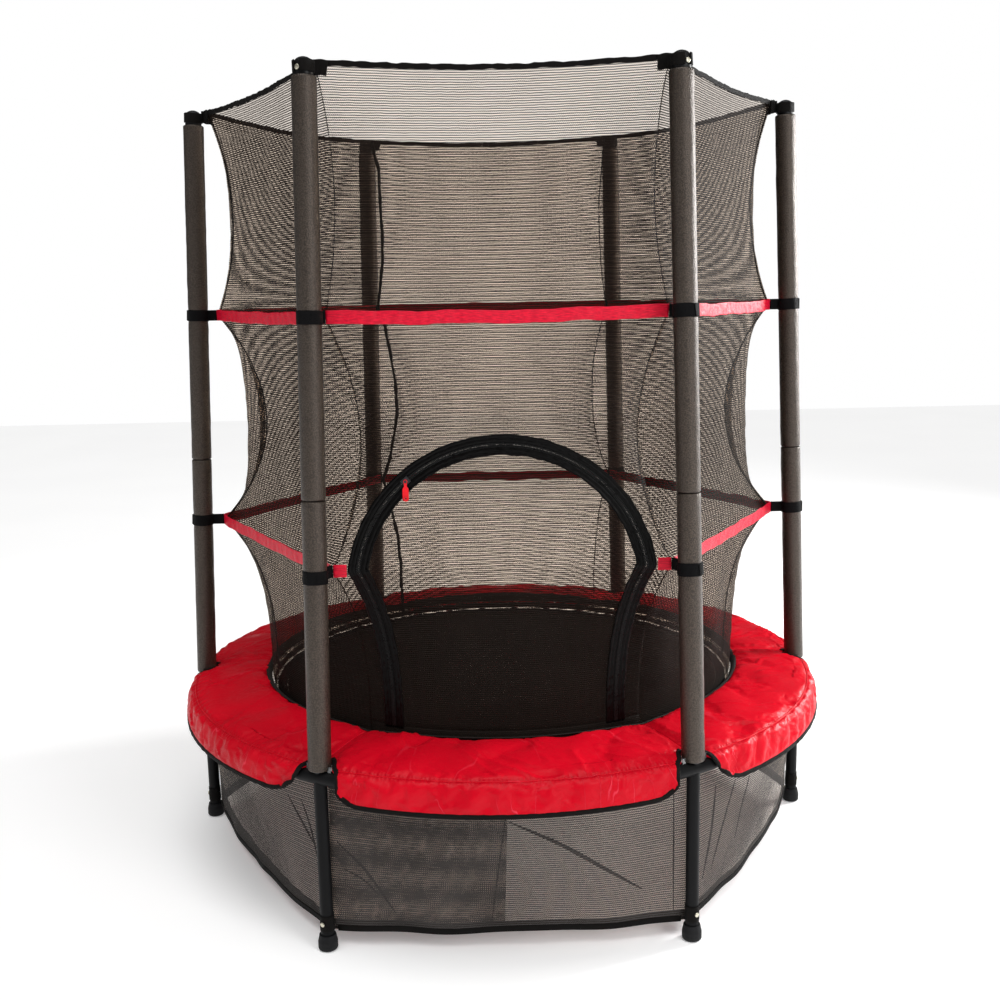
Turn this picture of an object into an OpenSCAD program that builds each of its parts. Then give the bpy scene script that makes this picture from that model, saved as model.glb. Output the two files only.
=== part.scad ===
// Six-pole trampoline with an enclosure net, a zipped arched door, a safety pad and a skirt net.
// Millimetres. +Z up, origin on the floor under the middle of the mat, front towards -Y.

/* [Frame] */
// Radius of the circle that the leg axes stand on
leg_circle_r = 683; // [640:1:740]
// Height of the rail axis above the floor
rail_z = 340; // [300:1:380]
// Outside diameter of the legs and rails
frame_tube_d = 25; // [22:0.5:28]
// Wall of the legs and rails
frame_tube_wall = 1.5; // [1:0.1:2.5]
// Length of the socket of a tee
tee_len = 90; // [70:1:120]
// Wall of the socket of a tee
tee_wall = 1.35; // [1:0.05:2]
// Length of the spigots of a tee
tee_spigot_len = 36; // [20:1:60]
// Diameter of a rubber foot
foot_d = 37; // [32:0.5:44]
// Height of a rubber foot
foot_h = 30; // [20:1:40]
// Rubber under the end of a leg
foot_sole = 6; // [3:0.5:10]

/* [Poles] */
// Outside diameter of the enclosure poles
pole_d = 22; // [19:0.5:24]
// Wall of the enclosure poles
pole_wall = 1.2; // [0.8:0.1:2]
// Inward lean of the poles
pole_lean = 2.25; // [1.5:0.05:2.6]
// Distance along a pole from the rail axis to the joint of its two tubes
pole_joint_s = 510; // [420:1:620]
// Distance along a pole from the rail axis to its top
pole_top_s = 1247; // [1235:1:1300]
// Length of the upper tube inside the lower one
pole_overlap = 60; // [30:1:90]
// Outside diameter of the foam sleeves
foam_d = 43; // [36:0.5:46]
// Bare pole above the foam, inside the cap
foam_top_gap = 18; // [12:1:30]
// Outside diameter of a pole cap
cap_d = 34; // [30:0.5:40]
// Top of a cap above the end of its pole
cap_crown = 13; // [8:0.5:16]
// Diameter of a screw head
screw_head_d = 9; // [7:0.5:11]

/* [Mat and springs] */
// Gap between the mat and the inner edge of the pad
mat_pad_gap = 15; // [8:1:30]
// Width of the edge band of the mat
mat_band_w = 21; // [12:1:30]
// Thickness of the mat
mat_t = 2; // [1:0.1:4]
// Thickness of the edge band
mat_band_t = 5; // [4:0.1:8]
// Height of the middle of the mat over the rail axis
mat_rise = 5.5; // [3:0.1:9]
// Springs on each rail
springs_per_rail = 6; // [4:1:8]
// Outside diameter of a spring
spring_d = 14; // [10:0.5:16]
// Radius of a V-ring
v_ring_r = 9; // [6:0.5:12]
// Wire of the V-rings and hooks
ring_wire_d = 3.2; // [2:0.1:4]
// Length of a spring hook at either end of its coil
hook_len = 18; // [12:1:26]

/* [Safety pad] */
// Width of the pad from its inner edge to the circle of legs
pad_width = 157; // [140:1:170]
// Thickness of the pad at its inner edge
pad_t = 20; // [14:0.5:28]
// Rise of the pad from the rail to its inner edge
pad_rise = 24; // [14:1:34]
// Depth of the valance below the top of the rail
valance_drop = 49; // [30:1:60]
// Thickness of the valance
valance_t = 3.5; // [2:0.5:6]
// Free space beside a pole at the top of a notch
notch_gap = 3; // [2:0.5:8]
// Half width of a notch at the bottom of the valance
notch_half_w = 52; // [38:1:70]
// Width of the black binding
binding_w = 9; // [6:0.5:14]

/* [Enclosure net] */
// Height of the rim of the net
rim_z = 1597; // [1585:1:1600]
// Distance from the axis of a pole in to the net, at its rim
rim_pole_gap = 26; // [25:0.5:40]
// Height of the upper strap
upper_strap_z = 1167; // [1080:1:1250]
// Distance from the axis of a pole in to the net, at the upper strap
upper_pole_gap = 41.5; // [34:0.5:56]
// Height of the lower strap
lower_strap_z = 712; // [690:1:760]
// Distance from the axis of a pole in to the net, at the lower strap
lower_pole_gap = 48; // [40:0.5:58]
// How far inside the circle of legs the net draws in between the straps
waist_draw = 166; // [150:1:180]
// Share of that draw that the top tier has
top_draw = 0.46; // [0.2:0.02:0.8]
// Gap between the net and the inner edge of the pad
net_pad_gap = 5; // [4:0.5:8]
// Thickness of the net
net_t = 1.5; // [1:0.1:2]
// Depth of the folds in the lower tier
net_fold = 5; // [0:0.5:8]
// Sag of the rim between two poles
rim_sag = 12; // [0:1:20]

/* [Straps] */
// Width of the straps and pole loops
strap_w = 25; // [18:1:32]
// Thickness of the straps and pole loops
strap_t = 2; // [1.5:0.1:3]

/* [Door] */
// Distance from the zip's arch to the corner of the net, at the height of the arch's centre
arch_side_gap = 44; // [40:1:60]
// Depth of the centre of the arch below the lower strap
arch_centre_drop = 42; // [30:1:56]
// How far the zip comes in from its arch down to the sill
sill_draw = 54; // [36:1:76]
// Height of the sill above the inner edge of the pad
sill_rise = 13; // [12:0.5:20]
// Width of a zip tape
zip_tape_w = 18.5; // [12:0.5:19]
// Thickness of a zip tape
zip_tape_t = 1.4; // [1:0.1:2]
// Height of the zip coil on its tape
zip_coil_h = 1.8; // [1:0.1:3]
// Place of the slider along the arch, from the right
slider_angle = 130; // [120:1:140]
// Length of the pull tab
pull_len = 36; // [24:1:44]
// Width of the pull tab
pull_w = 11; // [7:0.5:14]

/* [Skirt net] */
// Height of the bottom of the skirt at a leg
skirt_corner_z = 50; // [42:1:70]
// Rise of the bottom of the skirt between two legs
skirt_hem_rise = 6; // [0:1:20]
// How far the bottom of the skirt draws in between two legs
skirt_draw = 39; // [0:1:60]
// Depth of the folds at the bottom of the skirt
skirt_fold = 4; // [0:0.5:8]
// Height of a corner patch
patch_h = 50; // [30:1:60]

/* [Hidden] */

eps = 0.01;
POLES = 6;
panel_half = 30;              // half angle of one side, degrees
front_panel = 4;              // the side between pole 4 (front left) and pole 5 (front right)
fit = 0.15;                   // radial clearance of a tube in its socket
seat = 0.3;                   // gap between a soft piece and what it rests on
cloth_gap = 0.8;              // gap between a sewn band and the curved net under it

frame_r = frame_tube_d/2;
tee_r = frame_r + fit + tee_wall;
pole_r = pole_d/2;
foam_r = foam_d/2;
pole_bore_r = pole_r - pole_wall;
foam_low_s = tee_r + seat;
foam_up_end_s = pole_top_s - foam_top_gap;
cap_low_s = foam_up_end_s + seat;
screw_r = 2;
screw_hole_r = screw_r + 0.3;
screw_head_h = 2.2;

function lerp(a, b, t) = a + (b - a)*t;
function pole_axis_r(z) = leg_circle_r - (z - rail_z)*tan(pole_lean);
pad_inner_r = leg_circle_r - pad_width;
mat_r = pad_inner_r - mat_pad_gap;
net_low_r = pad_inner_r - net_pad_gap;
waist_r = leg_circle_r - waist_draw;
rim_corner_r = pole_axis_r(rim_z) - rim_pole_gap;
upper_corner_r = pole_axis_r(upper_strap_z) - upper_pole_gap;
lower_corner_r = pole_axis_r(lower_strap_z) - lower_pole_gap;
arch_r = lower_corner_r*sin(panel_half) - arch_side_gap;
arch_centre_z = lower_strap_z - arch_centre_drop;
sill_half_w = arch_r - sill_draw;

mat_z = rail_z + mat_rise;
ring_start_r = mat_r + 0.2;
hook_in_r = ring_start_r + v_ring_r + ring_wire_d/2 + 0.5;
hook_out_r = leg_circle_r - frame_r + frame_tube_wall + 1;
spring_step = 360/(POLES*springs_per_rail);

pad_low_z = rail_z + tee_r + 0.6;
valance_in_r = leg_circle_r + tee_r + 2.5;
valance_z = rail_z + frame_r - valance_drop;
pad_out_r = valance_in_r + valance_t;

net_low_z = mat_z + mat_band_t/2 + 1;
pad_edge_z = pad_low_z + pad_rise;
sill_z = pad_edge_z + sill_rise;
arch_knee_w = sqrt(pow(arch_r, 2) - pow(arch_centre_drop, 2));
arch_out_r = arch_r + zip_tape_w + 1.5;
knee_angle = asin(arch_centre_drop/arch_r);

skirt_top_z = rail_z - ring_wire_d/2 - seat;
skirt_r = leg_circle_r - tee_r - seat;

function pole_angle(i) = i*360/POLES;
function polar(r, a, z) = [r*cos(a), r*sin(a), z];
function clamp01(t) = max(0, min(1, t));

// Radius of a straight-sided hexagon with corner radius rc, at angle phi from the middle of a side
function hex_r(rc, phi) = rc*cos(panel_half)/cos(phi);

// The net between the straps: flat in the middle of a side, drawn in at the corner.
// On the front side the draw starts only beyond the zip arch.
function middle_t(z) = (z - lower_strap_z)/(upper_strap_z - lower_strap_z);
function middle_corner(z) = lerp(lower_corner_r, upper_corner_r, middle_t(z));
function chord_y(z) = middle_corner(z)*cos(panel_half);
function arch_reach(z) = z < arch_centre_z + arch_out_r
    ? 1.03*sqrt(max(0, pow(arch_out_r, 2) - pow(z - arch_centre_z, 2))) : 0;
function draw_share(z, phi, front) = let (c = chord_y(z), x = c*tan(abs(phi)), xc = c*tan(panel_half),
    xs = front ? arch_reach(z) : 0) pow(clamp01((x - xs)/(xc - xs)), 2);
function middle_r(z, phi, front = false) = let (s = middle_t(z), b = 4*s*(1 - s)*draw_share(z, phi, front))
    hex_r(middle_corner(z), phi)*(1 - b) + waist_r*b;

// The net above the upper strap
function top_r(z, phi) = let (s = (z - upper_strap_z)/(rim_z - upper_strap_z),
    b = top_draw*4*s*(1 - s)*pow(phi/panel_half, 2))
    hex_r(lerp(upper_corner_r, rim_corner_r, s), phi)*(1 - b) + waist_r*b;

// The net below the lower strap: from the hexagon of the strap to the circle inside the pad
function lower_r(z, phi) = let (s = clamp01((z - pad_edge_z)/(lower_strap_z - pad_edge_z)), h = pow(s, 2.8),
    base = z < pad_edge_z
        ? lerp(mat_r + 3, net_low_r, (z - net_low_z)/(pad_edge_z - net_low_z)) : net_low_r)
    hex_r(lower_corner_r, phi)*h + base*(1 - h);
function lower_fold(z, phi) = let (s = clamp01((z - pad_edge_z)/(lower_strap_z - pad_edge_z)))
    net_fold*4*s*(1 - s)*sin(3*180*(phi/panel_half + 1))*(1 - pow(phi/panel_half, 4));

// Depth of the front side at x. The angle whose point lies x from the middle is found by halving.
function front_r(z, phi) = z < lower_strap_z - eps ? lower_r(z, phi) : middle_r(z, phi, true);
function front_phi(x, z, low = 0, high = panel_half, n = 15) = let (mid = (low + high)/2)
    n == 0 ? mid : front_r(z, mid)*sin(mid) > x ? front_phi(x, z, low, mid, n - 1)
    : front_phi(x, z, mid, high, n - 1);
function front_y(x, z) = let (phi = front_phi(abs(x), z)) -front_r(z, phi)*cos(phi);

// Half width of the zip's middle line on a leg of the arch
function arch_leg_w(z) = sill_half_w
    + (arch_knee_w - sill_half_w)*pow(max(0, z - sill_z)/(lower_strap_z - sill_z), 2.7);

// Middle line of the zip from the left sill over the arch to the right sill, as [x, z]
LEG_STEPS = 10;
ARC_STEPS = 36;
function leg_z(k) = lerp(sill_z, lower_strap_z, k/LEG_STEPS);
// Heights of the sections on a leg, close together below the fold at the lower strap
leg_heights = concat([for (k = [0:LEG_STEPS - 1]) leg_z(k)], [for (t = [1/3, 2/3]) leg_z(LEG_STEPS - 1 + t)]);
zip_path = concat(
    [for (z = leg_heights) [-arch_leg_w(z), z]],
    [for (k = [0:ARC_STEPS]) let (a = lerp(180 - knee_angle, knee_angle, k/ARC_STEPS))
        [arch_r*cos(a), arch_centre_z + arch_r*sin(a)]],
    [for (k = [len(leg_heights) - 1:-1:0]) [arch_leg_w(leg_heights[k]), leg_heights[k]]]);
function path_normal(p, k) = let (a = p[max(0, k - 1)], b = p[min(len(p) - 1, k + 1)], d = (b - a)/norm(b - a))
    [-d[1], d[0]];

// Half width of the door opening in the net at height z, o outside the zip's middle line
function door_half_w(z, o) = z < lower_strap_z ? arch_leg_w(z) + o
    : sqrt(max(0, pow(arch_r + o, 2) - pow(z - arch_centre_z, 2)));

// A closed sheet from a grid of points on its outer face; rows go up, columns go anticlockwise
function inward(p, t) = let (r = norm([p[0], p[1]])) [p[0]*(1 - t/r), p[1]*(1 - t/r), p[2]];
module cloth(grid, t) {
    n = len(grid);
    m = len(grid[0]);
    outer = [for (row = grid, p = row) p];
    points = concat(outer, [for (p = outer) inward(p, t)]);
    o = n*m;
    function at(i, j) = i*m + j;
    sides = [for (i = [0:n - 2], j = [0:m - 2]) let (a = at(i, j), b = at(i + 1, j), c = at(i + 1, j + 1),
        d = at(i, j + 1)) each [[a, b, c], [a, c, d], [a + o, c + o, b + o], [a + o, d + o, c + o]]];
    low = [for (j = [0:m - 2]) let (a = at(0, j), d = at(0, j + 1)) each [[a, d, d + o], [a, d + o, a + o]]];
    high = [for (j = [0:m - 2]) let (b = at(n - 1, j), c = at(n - 1, j + 1))
        each [[c, b, b + o], [c, b + o, c + o]]];
    left = [for (i = [0:n - 2]) let (a = at(i, 0), b = at(i + 1, 0)) each [[b, a, a + o], [b, a + o, b + o]]];
    right = [for (i = [0:n - 2]) let (d = at(i, m - 1), c = at(i + 1, m - 1))
        each [[d, c, c + o], [d, c + o, d + o]]];
    polyhedron(points, concat(sides, low, high, left, right));
}

// A closed solid through a list of sections with equal point counts. Its two ends are filled from
// point 0, or like a ladder when the first and second half of the points face each other.
module loft(sections, ladder = false) {
    n = len(sections);
    m = len(sections[0]);
    points = [for (s = sections, p = s) p];
    walls = [for (i = [0:n - 2], j = [0:m - 1]) let (a = i*m + j, b = i*m + (j + 1)%m, c = a + m, d = b + m)
        each [[a, b, d], [a, d, c]]];
    e = (n - 1)*m;
    caps = ladder
        ? [for (j = [0:m/2 - 2]) let (a = j, b = j + 1, c = m - 2 - j, d = m - 1 - j)
            each [[a, c, b], [a, d, c], [e + a, e + b, e + c], [e + a, e + c, e + d]]]
        : [for (j = [1:m - 2]) each [[0, j + 1, j], [e, e + j, e + j + 1]]];
    polyhedron(points, concat(walls, caps));
}

module at_pole(i) rotate([0, 0, pole_angle(i)]) translate([leg_circle_r, 0, 0]) children();
module on_pole(i) at_pole(i) translate([0, 0, rail_z]) rotate([0, -pole_lean, 0]) children();
module along_y(r, h, fn = 48) rotate([90, 0, 0]) cylinder(r = r, h = h, center = true, $fn = fn);
module tube(r_out, r_in, h, fn = 48) difference() {
    cylinder(r = r_out, h = h, $fn = fn);
    translate([0, 0, -1]) cylinder(r = r_in, h = h + 2, $fn = fn);
}

// ---- Frame ----

skirt_screw_z = skirt_corner_z + 4;
module leg(i) color("#1b1b1d") at_pole(i) difference() {
    translate([0, 0, foot_sole + seat]) tube(frame_r, frame_r - frame_tube_wall, rail_z - foot_sole - seat);
    translate([0, 0, rail_z]) along_y(tee_r + seat, 3*frame_tube_d);
    translate([0, 0, skirt_screw_z]) rotate([0, 90, 0]) cylinder(r = screw_hole_r, h = frame_tube_d, $fn = 24);
}

// A stretch of round tube along the ring of rails, either side of a pole
module ring_arc(r, half_angle) translate([-leg_circle_r, 0, 0]) rotate([0, 0, -half_angle])
    rotate_extrude(angle = 2*half_angle, $fn = 96) translate([leg_circle_r, 0]) circle(r = r, $fn = 48);
tee_half_angle = atan(tee_len/2/leg_circle_r);
module tee(i) color("#202022") at_pole(i) translate([0, 0, rail_z]) difference() {
    union() {
        ring_arc(tee_r, tee_half_angle);
        translate([0, 0, -tee_r - tee_spigot_len])
            cylinder(r = frame_r - frame_tube_wall - fit, h = tee_spigot_len + tee_wall + 1, $fn = 48);
        rotate([0, -pole_lean, 0]) translate([0, 0, tee_r - tee_wall - 1])
            cylinder(r = pole_bore_r - 2*fit, h = tee_spigot_len, $fn = 48);
    }
    ring_arc(frame_r + fit, tee_half_angle + 0.2);
}

// A rail is an arc of tube whose ends slide into the sockets of two tees
rail_end_angle = atan(15/leg_circle_r);
module rail(i) color("#1f1f21") rotate([0, 0, pole_angle(i)]) difference() {
    rotate([0, 0, rail_end_angle]) translate([0, 0, rail_z])
        rotate_extrude(angle = 2*panel_half - 2*rail_end_angle, $fn = 96)
        translate([leg_circle_r, 0]) difference() {
            circle(r = frame_r, $fn = 48);
            circle(r = frame_r - frame_tube_wall, $fn = 48);
        }
    for (k = [0:springs_per_rail - 1]) rotate([0, 0, (k + 0.5)*spring_step])
        translate([leg_circle_r - frame_tube_d, 0, rail_z]) rotate([0, 90, 0])
        cylinder(r = ring_wire_d/2 + 0.8, h = frame_tube_d, $fn = 24);
}

module rubber_feet() color("#2a2c2e") for (i = [0:POLES - 1]) at_pole(i) {
    r = foot_d/2;
    edge = 5;
    rotate_extrude($fn = 64) polygon(concat(
        [[0, 0], [r - edge, 0]],
        [for (a = [-90:15:0]) [r - edge + edge*cos(a), edge + edge*sin(a)]],
        [[r, 0.55*foot_h], [frame_r + 3, foot_h], [frame_r + fit, foot_h], [frame_r + fit, foot_sole],
         [0, foot_sole]]));
}

// ---- Poles ----

module lower_poles() color("#2c2c2e") for (i = [0:POLES - 1]) on_pole(i) difference() {
    tube(pole_r, pole_bore_r, pole_joint_s);
    rotate([0, pole_lean, 0]) along_y(tee_r + seat, 3*frame_tube_d);
}

module upper_poles() color("#2c2c2e") for (i = [0:POLES - 1]) on_pole(i) difference() {
    union() {
        translate([0, 0, pole_joint_s + seat]) cylinder(r = pole_r, h = pole_top_s - pole_joint_s - seat, $fn = 48);
        translate([0, 0, pole_joint_s - pole_overlap])
            cylinder(r = pole_bore_r - fit, h = pole_overlap + 5, $fn = 48);
    }
    translate([0, 0, pole_joint_s + 8]) cylinder(r = pole_bore_r, h = pole_top_s, $fn = 48);
    translate([0, 0, pole_joint_s - pole_overlap - 1])
        cylinder(r = pole_bore_r - fit - pole_wall, h = pole_overlap + 20, $fn = 48);
    translate([0, 0, cap_screw_s]) rotate([0, 90, 0]) cylinder(r = screw_hole_r, h = pole_d, $fn = 24);
}

foam_break = 1;
module foam_sleeve(i, s0, s1) color("#5a5754") on_pole(i) translate([0, 0, s0])
    tube(foam_r, pole_r + seat, s1 - s0);
module foam_low(i) foam_sleeve(i, foam_low_s, pole_joint_s - foam_break/2);
module foam_up(i) foam_sleeve(i, pole_joint_s + foam_break/2, foam_up_end_s);

cap_screw_s = cap_low_s + 11;
module pole_caps() color("#161616") for (i = [0:POLES - 1]) on_pole(i) difference() {
    r = cap_d/2;
    bore = pole_r + fit;
    top = pole_top_s + cap_crown;
    rotate_extrude($fn = 64) polygon(concat(
        [[bore, cap_low_s], [r, cap_low_s], [r, pole_top_s]],
        [for (a = [0:15:90]) [r*cos(a), pole_top_s + cap_crown*sin(a)]],
        [[0, pole_top_s + seat], [bore, pole_top_s + seat]]));
    translate([0, 0, cap_screw_s]) rotate([0, 90, 0]) cylinder(r = screw_hole_r, h = top, $fn = 24);
}

// A round-headed screw along +X with its head seated on a face at x = face
module screw(face, reach) {
    translate([face - reach, 0, 0]) rotate([0, 90, 0]) cylinder(r = screw_r, h = reach + eps, $fn = 24);
    translate([face, 0, 0]) rotate([0, 90, 0]) rotate_extrude($fn = 32) polygon(concat(
        [[0, 0], [screw_head_d/2, 0]],
        [for (a = [0:15:90]) [screw_head_d/2*cos(a), 0.8 + (screw_head_h - 0.8)*sin(a)]]));
}
patch_t = tee_r - frame_r - seat;
module screws() color("#c9c4b4") for (i = [0:POLES - 1]) {
    on_pole(i) translate([0, 0, cap_screw_s]) screw(cap_d/2 + seat, cap_d/2 - pole_bore_r + 2);
    at_pole(i) translate([0, 0, skirt_screw_z]) screw(frame_r + seat + patch_t, 7);
}

// ---- Mat and springs ----

module jumping_mat() color("#1c1b1b") translate([0, 0, mat_z - mat_t/2])
    cylinder(r = mat_r - mat_band_w - seat, h = mat_t, $fn = 180);

module mat_edge_band() color("#141414") translate([0, 0, mat_z - mat_band_t/2])
    tube(mat_r, mat_r - mat_band_w, mat_band_t, 180);

module each_spring() for (k = [0:POLES*springs_per_rail - 1]) rotate([0, 0, (k + 0.5)*spring_step]) children();

module v_rings() color("#b9bbbd") each_spring() translate([ring_start_r, 0, mat_z]) rotate([0, 0, -90])
    rotate_extrude(angle = 180, $fn = 48) translate([v_ring_r, 0]) circle(r = ring_wire_d/2, $fn = 24);

module springs() color("#c4c6c8") each_spring() {
    drop = mat_z - rail_z;
    run = hook_out_r - hook_in_r;
    translate([hook_in_r, 0, mat_z]) rotate([0, 90 + atan(drop/run), 0]) union() {
        cylinder(r = ring_wire_d/2, h = norm([run, drop]), $fn = 24);
        translate([0, 0, hook_len]) cylinder(r = spring_d/2, h = norm([run, drop]) - 2*hook_len - 4, $fn = 32);
    }
}

// ---- Safety pad ----

// Outline of one segment across the pad as [radius, height]: its underside from the inner edge to the
// bottom of the valance, then its outside back up over the crown
crown = 5;
fold_r = pad_out_r - 3;
pad_mid_r = lerp(pad_inner_r, leg_circle_r, 0.45);
underside = [
    [pad_inner_r + 4, pad_edge_z - pad_t + 3],
    [pad_inner_r + 19, pad_edge_z - pad_t + 2.5],
    [pad_inner_r + 34, pad_low_z + 0.3*pad_rise],
    [pad_mid_r, pad_low_z + 0.22*pad_rise],
    [leg_circle_r - 2*frame_tube_d, pad_low_z + 1],
    [leg_circle_r, pad_low_z],
    [valance_in_r, pad_low_z],
    [valance_in_r, lerp(valance_z, pad_low_z, 0.5)],
    [valance_in_r, valance_z]];
pad_profile = concat(underside, [
    [pad_out_r, valance_z],
    [pad_out_r + 1, lerp(valance_z, pad_low_z, 0.5)],
    [pad_out_r, pad_low_z + 3],
    [fold_r - 4, pad_low_z + 9],
    [leg_circle_r - frame_tube_d, pad_low_z + 0.62*pad_rise + crown/2],
    [pad_mid_r, pad_edge_z + crown/2],
    [pad_inner_r + 14, pad_edge_z + crown],
    [pad_inner_r, pad_edge_z - 2],
    [pad_inner_r, pad_edge_z - pad_t + 6]]);

// Half of the gap between two segments: a seam inside, widening down the valance outside
seam_gap = 0.4;
notch_r = foam_r + notch_gap;
function notch_gap_at(p) = p[0] < valance_in_r - 6 ? seam_gap
    : lerp(notch_r - 1, notch_half_w, pow(clamp01((pad_low_z + 12 - p[1])/(pad_low_z + 12 - valance_z)), 1.4));
function pad_half_angle(p) = panel_half - asin(notch_gap_at(p)/p[0]);

// Height above the underside falls to a seam's thickness at both ends of a segment
seam_share = 0.62;
function pad_point(p, u) = let (
    puff = seam_share + (1 - seam_share)*(1 - pow(abs(u), 6)),
    under = lookup(p[0], [for (k = [0:6]) underside[k]]),
    z = p[1] > under ? under + (p[1] - under)*puff : p[1])
    polar(p[0], u*pad_half_angle(p), z);
PAD_STEPS = 10;
function pad_u(k) = let (t = 2*k/PAD_STEPS - 1) sign(t)*(1 - pow(1 - abs(t), 1.15));
pad_step_half = panel_half*(pad_u(PAD_STEPS/2 + 1) - pad_u(PAD_STEPS/2))/2;
module pad_segment() loft([for (k = [0:PAD_STEPS]) [for (p = pad_profile) pad_point(p, pad_u(k))]], ladder = true);
// The round notch that a pole stands in, open outwards
module pole_notch(i) on_pole(i) {
    cylinder(r = notch_r, h = pad_rise + 2*foam_d, $fn = 64);
    translate([0, -notch_r, -rail_z/2]) cube([2*foam_d, 2*notch_r, rail_z]);
}
module safety_pad() color("#c8102e") for (i = [0:POLES - 1]) difference() {
    rotate([0, 0, pole_angle(i) + panel_half]) pad_segment();
    pole_notch(i);
    pole_notch(i + 1);
}

// Black binding along the bottom of the valance and round the pad's inner edge
module pad_binding() color("#151515") {
    for (i = [0:POLES - 1]) rotate([0, 0, pole_angle(i) + panel_half]) {
        hem = pad_half_angle([pad_out_r, valance_z]) - 0.2;
        rotate([0, 0, -hem]) translate([0, 0, valance_z - 1.5]) rotate_extrude(angle = 2*hem, $fn = 180)
            translate([valance_in_r, 0]) polygon([[0, 0], [valance_t + 2.5, 0], [valance_t + 2.5, binding_w],
                [valance_t + 1.3, binding_w], [valance_t + 1.3, 1.2], [0, 1.2]]);
    }
    edge_r = pad_inner_r*cos(pad_step_half) - seat;
    translate([0, 0, pad_edge_z - pad_t + 6]) tube(edge_r, edge_r - 1.2, pad_t - 8, 180);
}

// ---- Enclosure net ----

COLS = 10;
panel_edge = panel_half - 0.03;
function col_phi(j) = lerp(-panel_edge, panel_edge, j/COLS);
module panel(i) rotate([0, 0, pole_angle(i) + panel_half]) children();
function rim_height(phi) = rim_z - rim_sag*(1 - pow(phi/panel_half, 2));

// The last row but one lies under the lower edge of the rim binding
TOP_ROWS = 4;
module net_top() color("#6b625a") for (i = [0:POLES - 1]) panel(i) cloth(
    [for (k = [0:TOP_ROWS + 1]) [for (j = [0:COLS]) let (phi = col_phi(j), band = rim_height(phi) - rim_w,
        z = k > TOP_ROWS ? rim_height(phi) : lerp(upper_strap_z, band, k/TOP_ROWS))
        polar(top_r(z, phi), phi, z)]], net_t);

MIDDLE_ROWS = 6;
strap_seam = 0.3;
module net_middle() color("#6b625a") for (i = [0:POLES - 1]) if (i != front_panel) panel(i) cloth(
    [for (k = [0:MIDDLE_ROWS]) [for (j = [0:COLS]) let (phi = col_phi(j),
        z = lerp(lower_strap_z, upper_strap_z - strap_seam, k/MIDDLE_ROWS))
        polar(middle_r(z, phi), phi, z)]], net_t);

LOWER_ROWS = 6;
module net_lower() color("#6b625a") for (i = [0:POLES - 1]) if (i != front_panel) panel(i) cloth(
    [for (k = [0:LOWER_ROWS]) [for (j = [0:COLS]) let (phi = col_phi(j),
        z = lerp(net_low_z, lower_strap_z - strap_seam, k/LOWER_ROWS))
        polar(lower_r(z, phi) + lower_fold(z, phi), phi, z)]], net_t);

// The front side is drawn in its own axes: x to the right, y away from the viewer
door_edge = 0.5;
STRIP_COLS = 3;
function front_corner_x(z) = front_r(z, panel_edge)*sin(panel_edge);
// Where a ray from the arch's centre meets the edge of the front side, as [x, z]
function edge_on_ray(a) = let (
    x1 = front_corner_x(lower_strap_z + 1),
    z1 = arch_centre_z + x1*abs(tan(a)), x2 = front_corner_x(min(upper_strap_z, z1)),
    z2 = arch_centre_z + x2*abs(tan(a)), x3 = front_corner_x(min(upper_strap_z, z2)),
    z3 = arch_centre_z + x3*abs(tan(a)), x4 = front_corner_x(min(upper_strap_z, z3)),
    z4 = arch_centre_z + x4*abs(tan(a)))
    z4 < upper_strap_z ? [sign(cos(a))*x4, z4]
        : [(upper_strap_z - arch_centre_z)/tan(a), upper_strap_z];
corner_angle = atan((upper_strap_z - arch_centre_z)/(upper_corner_r*sin(panel_half)));
SIDE_RAYS = 7;
TOP_RAYS = 8;
ray_angles = concat(
    [for (k = [0:SIDE_RAYS - 1]) lerp(180 - knee_angle, 180 - corner_angle, k/SIDE_RAYS)],
    [for (k = [0:TOP_RAYS]) lerp(180 - corner_angle, corner_angle, k/TOP_RAYS)],
    [for (k = [SIDE_RAYS - 1:-1:0]) lerp(knee_angle, corner_angle, k/SIDE_RAYS)]);
RINGS = 4;
module front_over_arch() {
    last = len(ray_angles) - 1;
    function rim_point(k) = k == 0 ? [-front_corner_x(lower_strap_z), lower_strap_z]
        : k == last ? [front_corner_x(lower_strap_z), lower_strap_z] : edge_on_ray(ray_angles[k]);
    cloth([for (i = [0:RINGS]) [for (k = [0:last]) let (a = ray_angles[k],
        p = lerp([(arch_r + door_edge)*cos(a), arch_centre_z + (arch_r + door_edge)*sin(a)], rim_point(k),
            i/RINGS), z = clamp_z(p[1])) [p[0], front_y(p[0], z), z]]], net_t);
}
function clamp_z(z) = max(lower_strap_z, min(upper_strap_z - strap_seam, z));
module front_strip(side) cloth([for (k = [0:LEG_STEPS]) let (z = min(leg_z(k), lower_strap_z - strap_seam),
        far = front_corner_x(z), near = arch_leg_w(leg_z(k)) + door_edge)
    [for (j = [0:STRIP_COLS]) let (x = side < 0 ? lerp(-far, -near, j/STRIP_COLS)
        : lerp(near, far, j/STRIP_COLS)) [x, front_y(x, min(z, lower_strap_z - 2*eps)), z]]], net_t);
SILL_ROWS = 2;
module front_sill() panel(front_panel) cloth(
    [for (k = [0:SILL_ROWS]) [for (j = [0:COLS]) let (phi = col_phi(j),
        z = lerp(net_low_z, sill_z - strap_seam, k/SILL_ROWS)) polar(lower_r(z, phi), phi, z)]], net_t);
module net_front() color("#6b625a") {
    front_over_arch();
    front_strip(-1);
    front_strip(1);
    front_sill();
}

// Binding along the rim, outside the net
rim_w = 10;
rim_t = 2;
rim_cover = 1.5;
rim_share = 0.925;
module net_rim() color("#141414") for (i = [0:POLES - 1]) panel(i) cloth(
    [for (k = [0:1]) [for (j = [0:COLS]) let (phi = col_phi(j)*rim_share,
        z = rim_height(phi) + (k - 1)*rim_w + rim_cover) polar(top_r(z, phi) + cloth_gap + rim_t, phi, z)]], rim_t);

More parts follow.
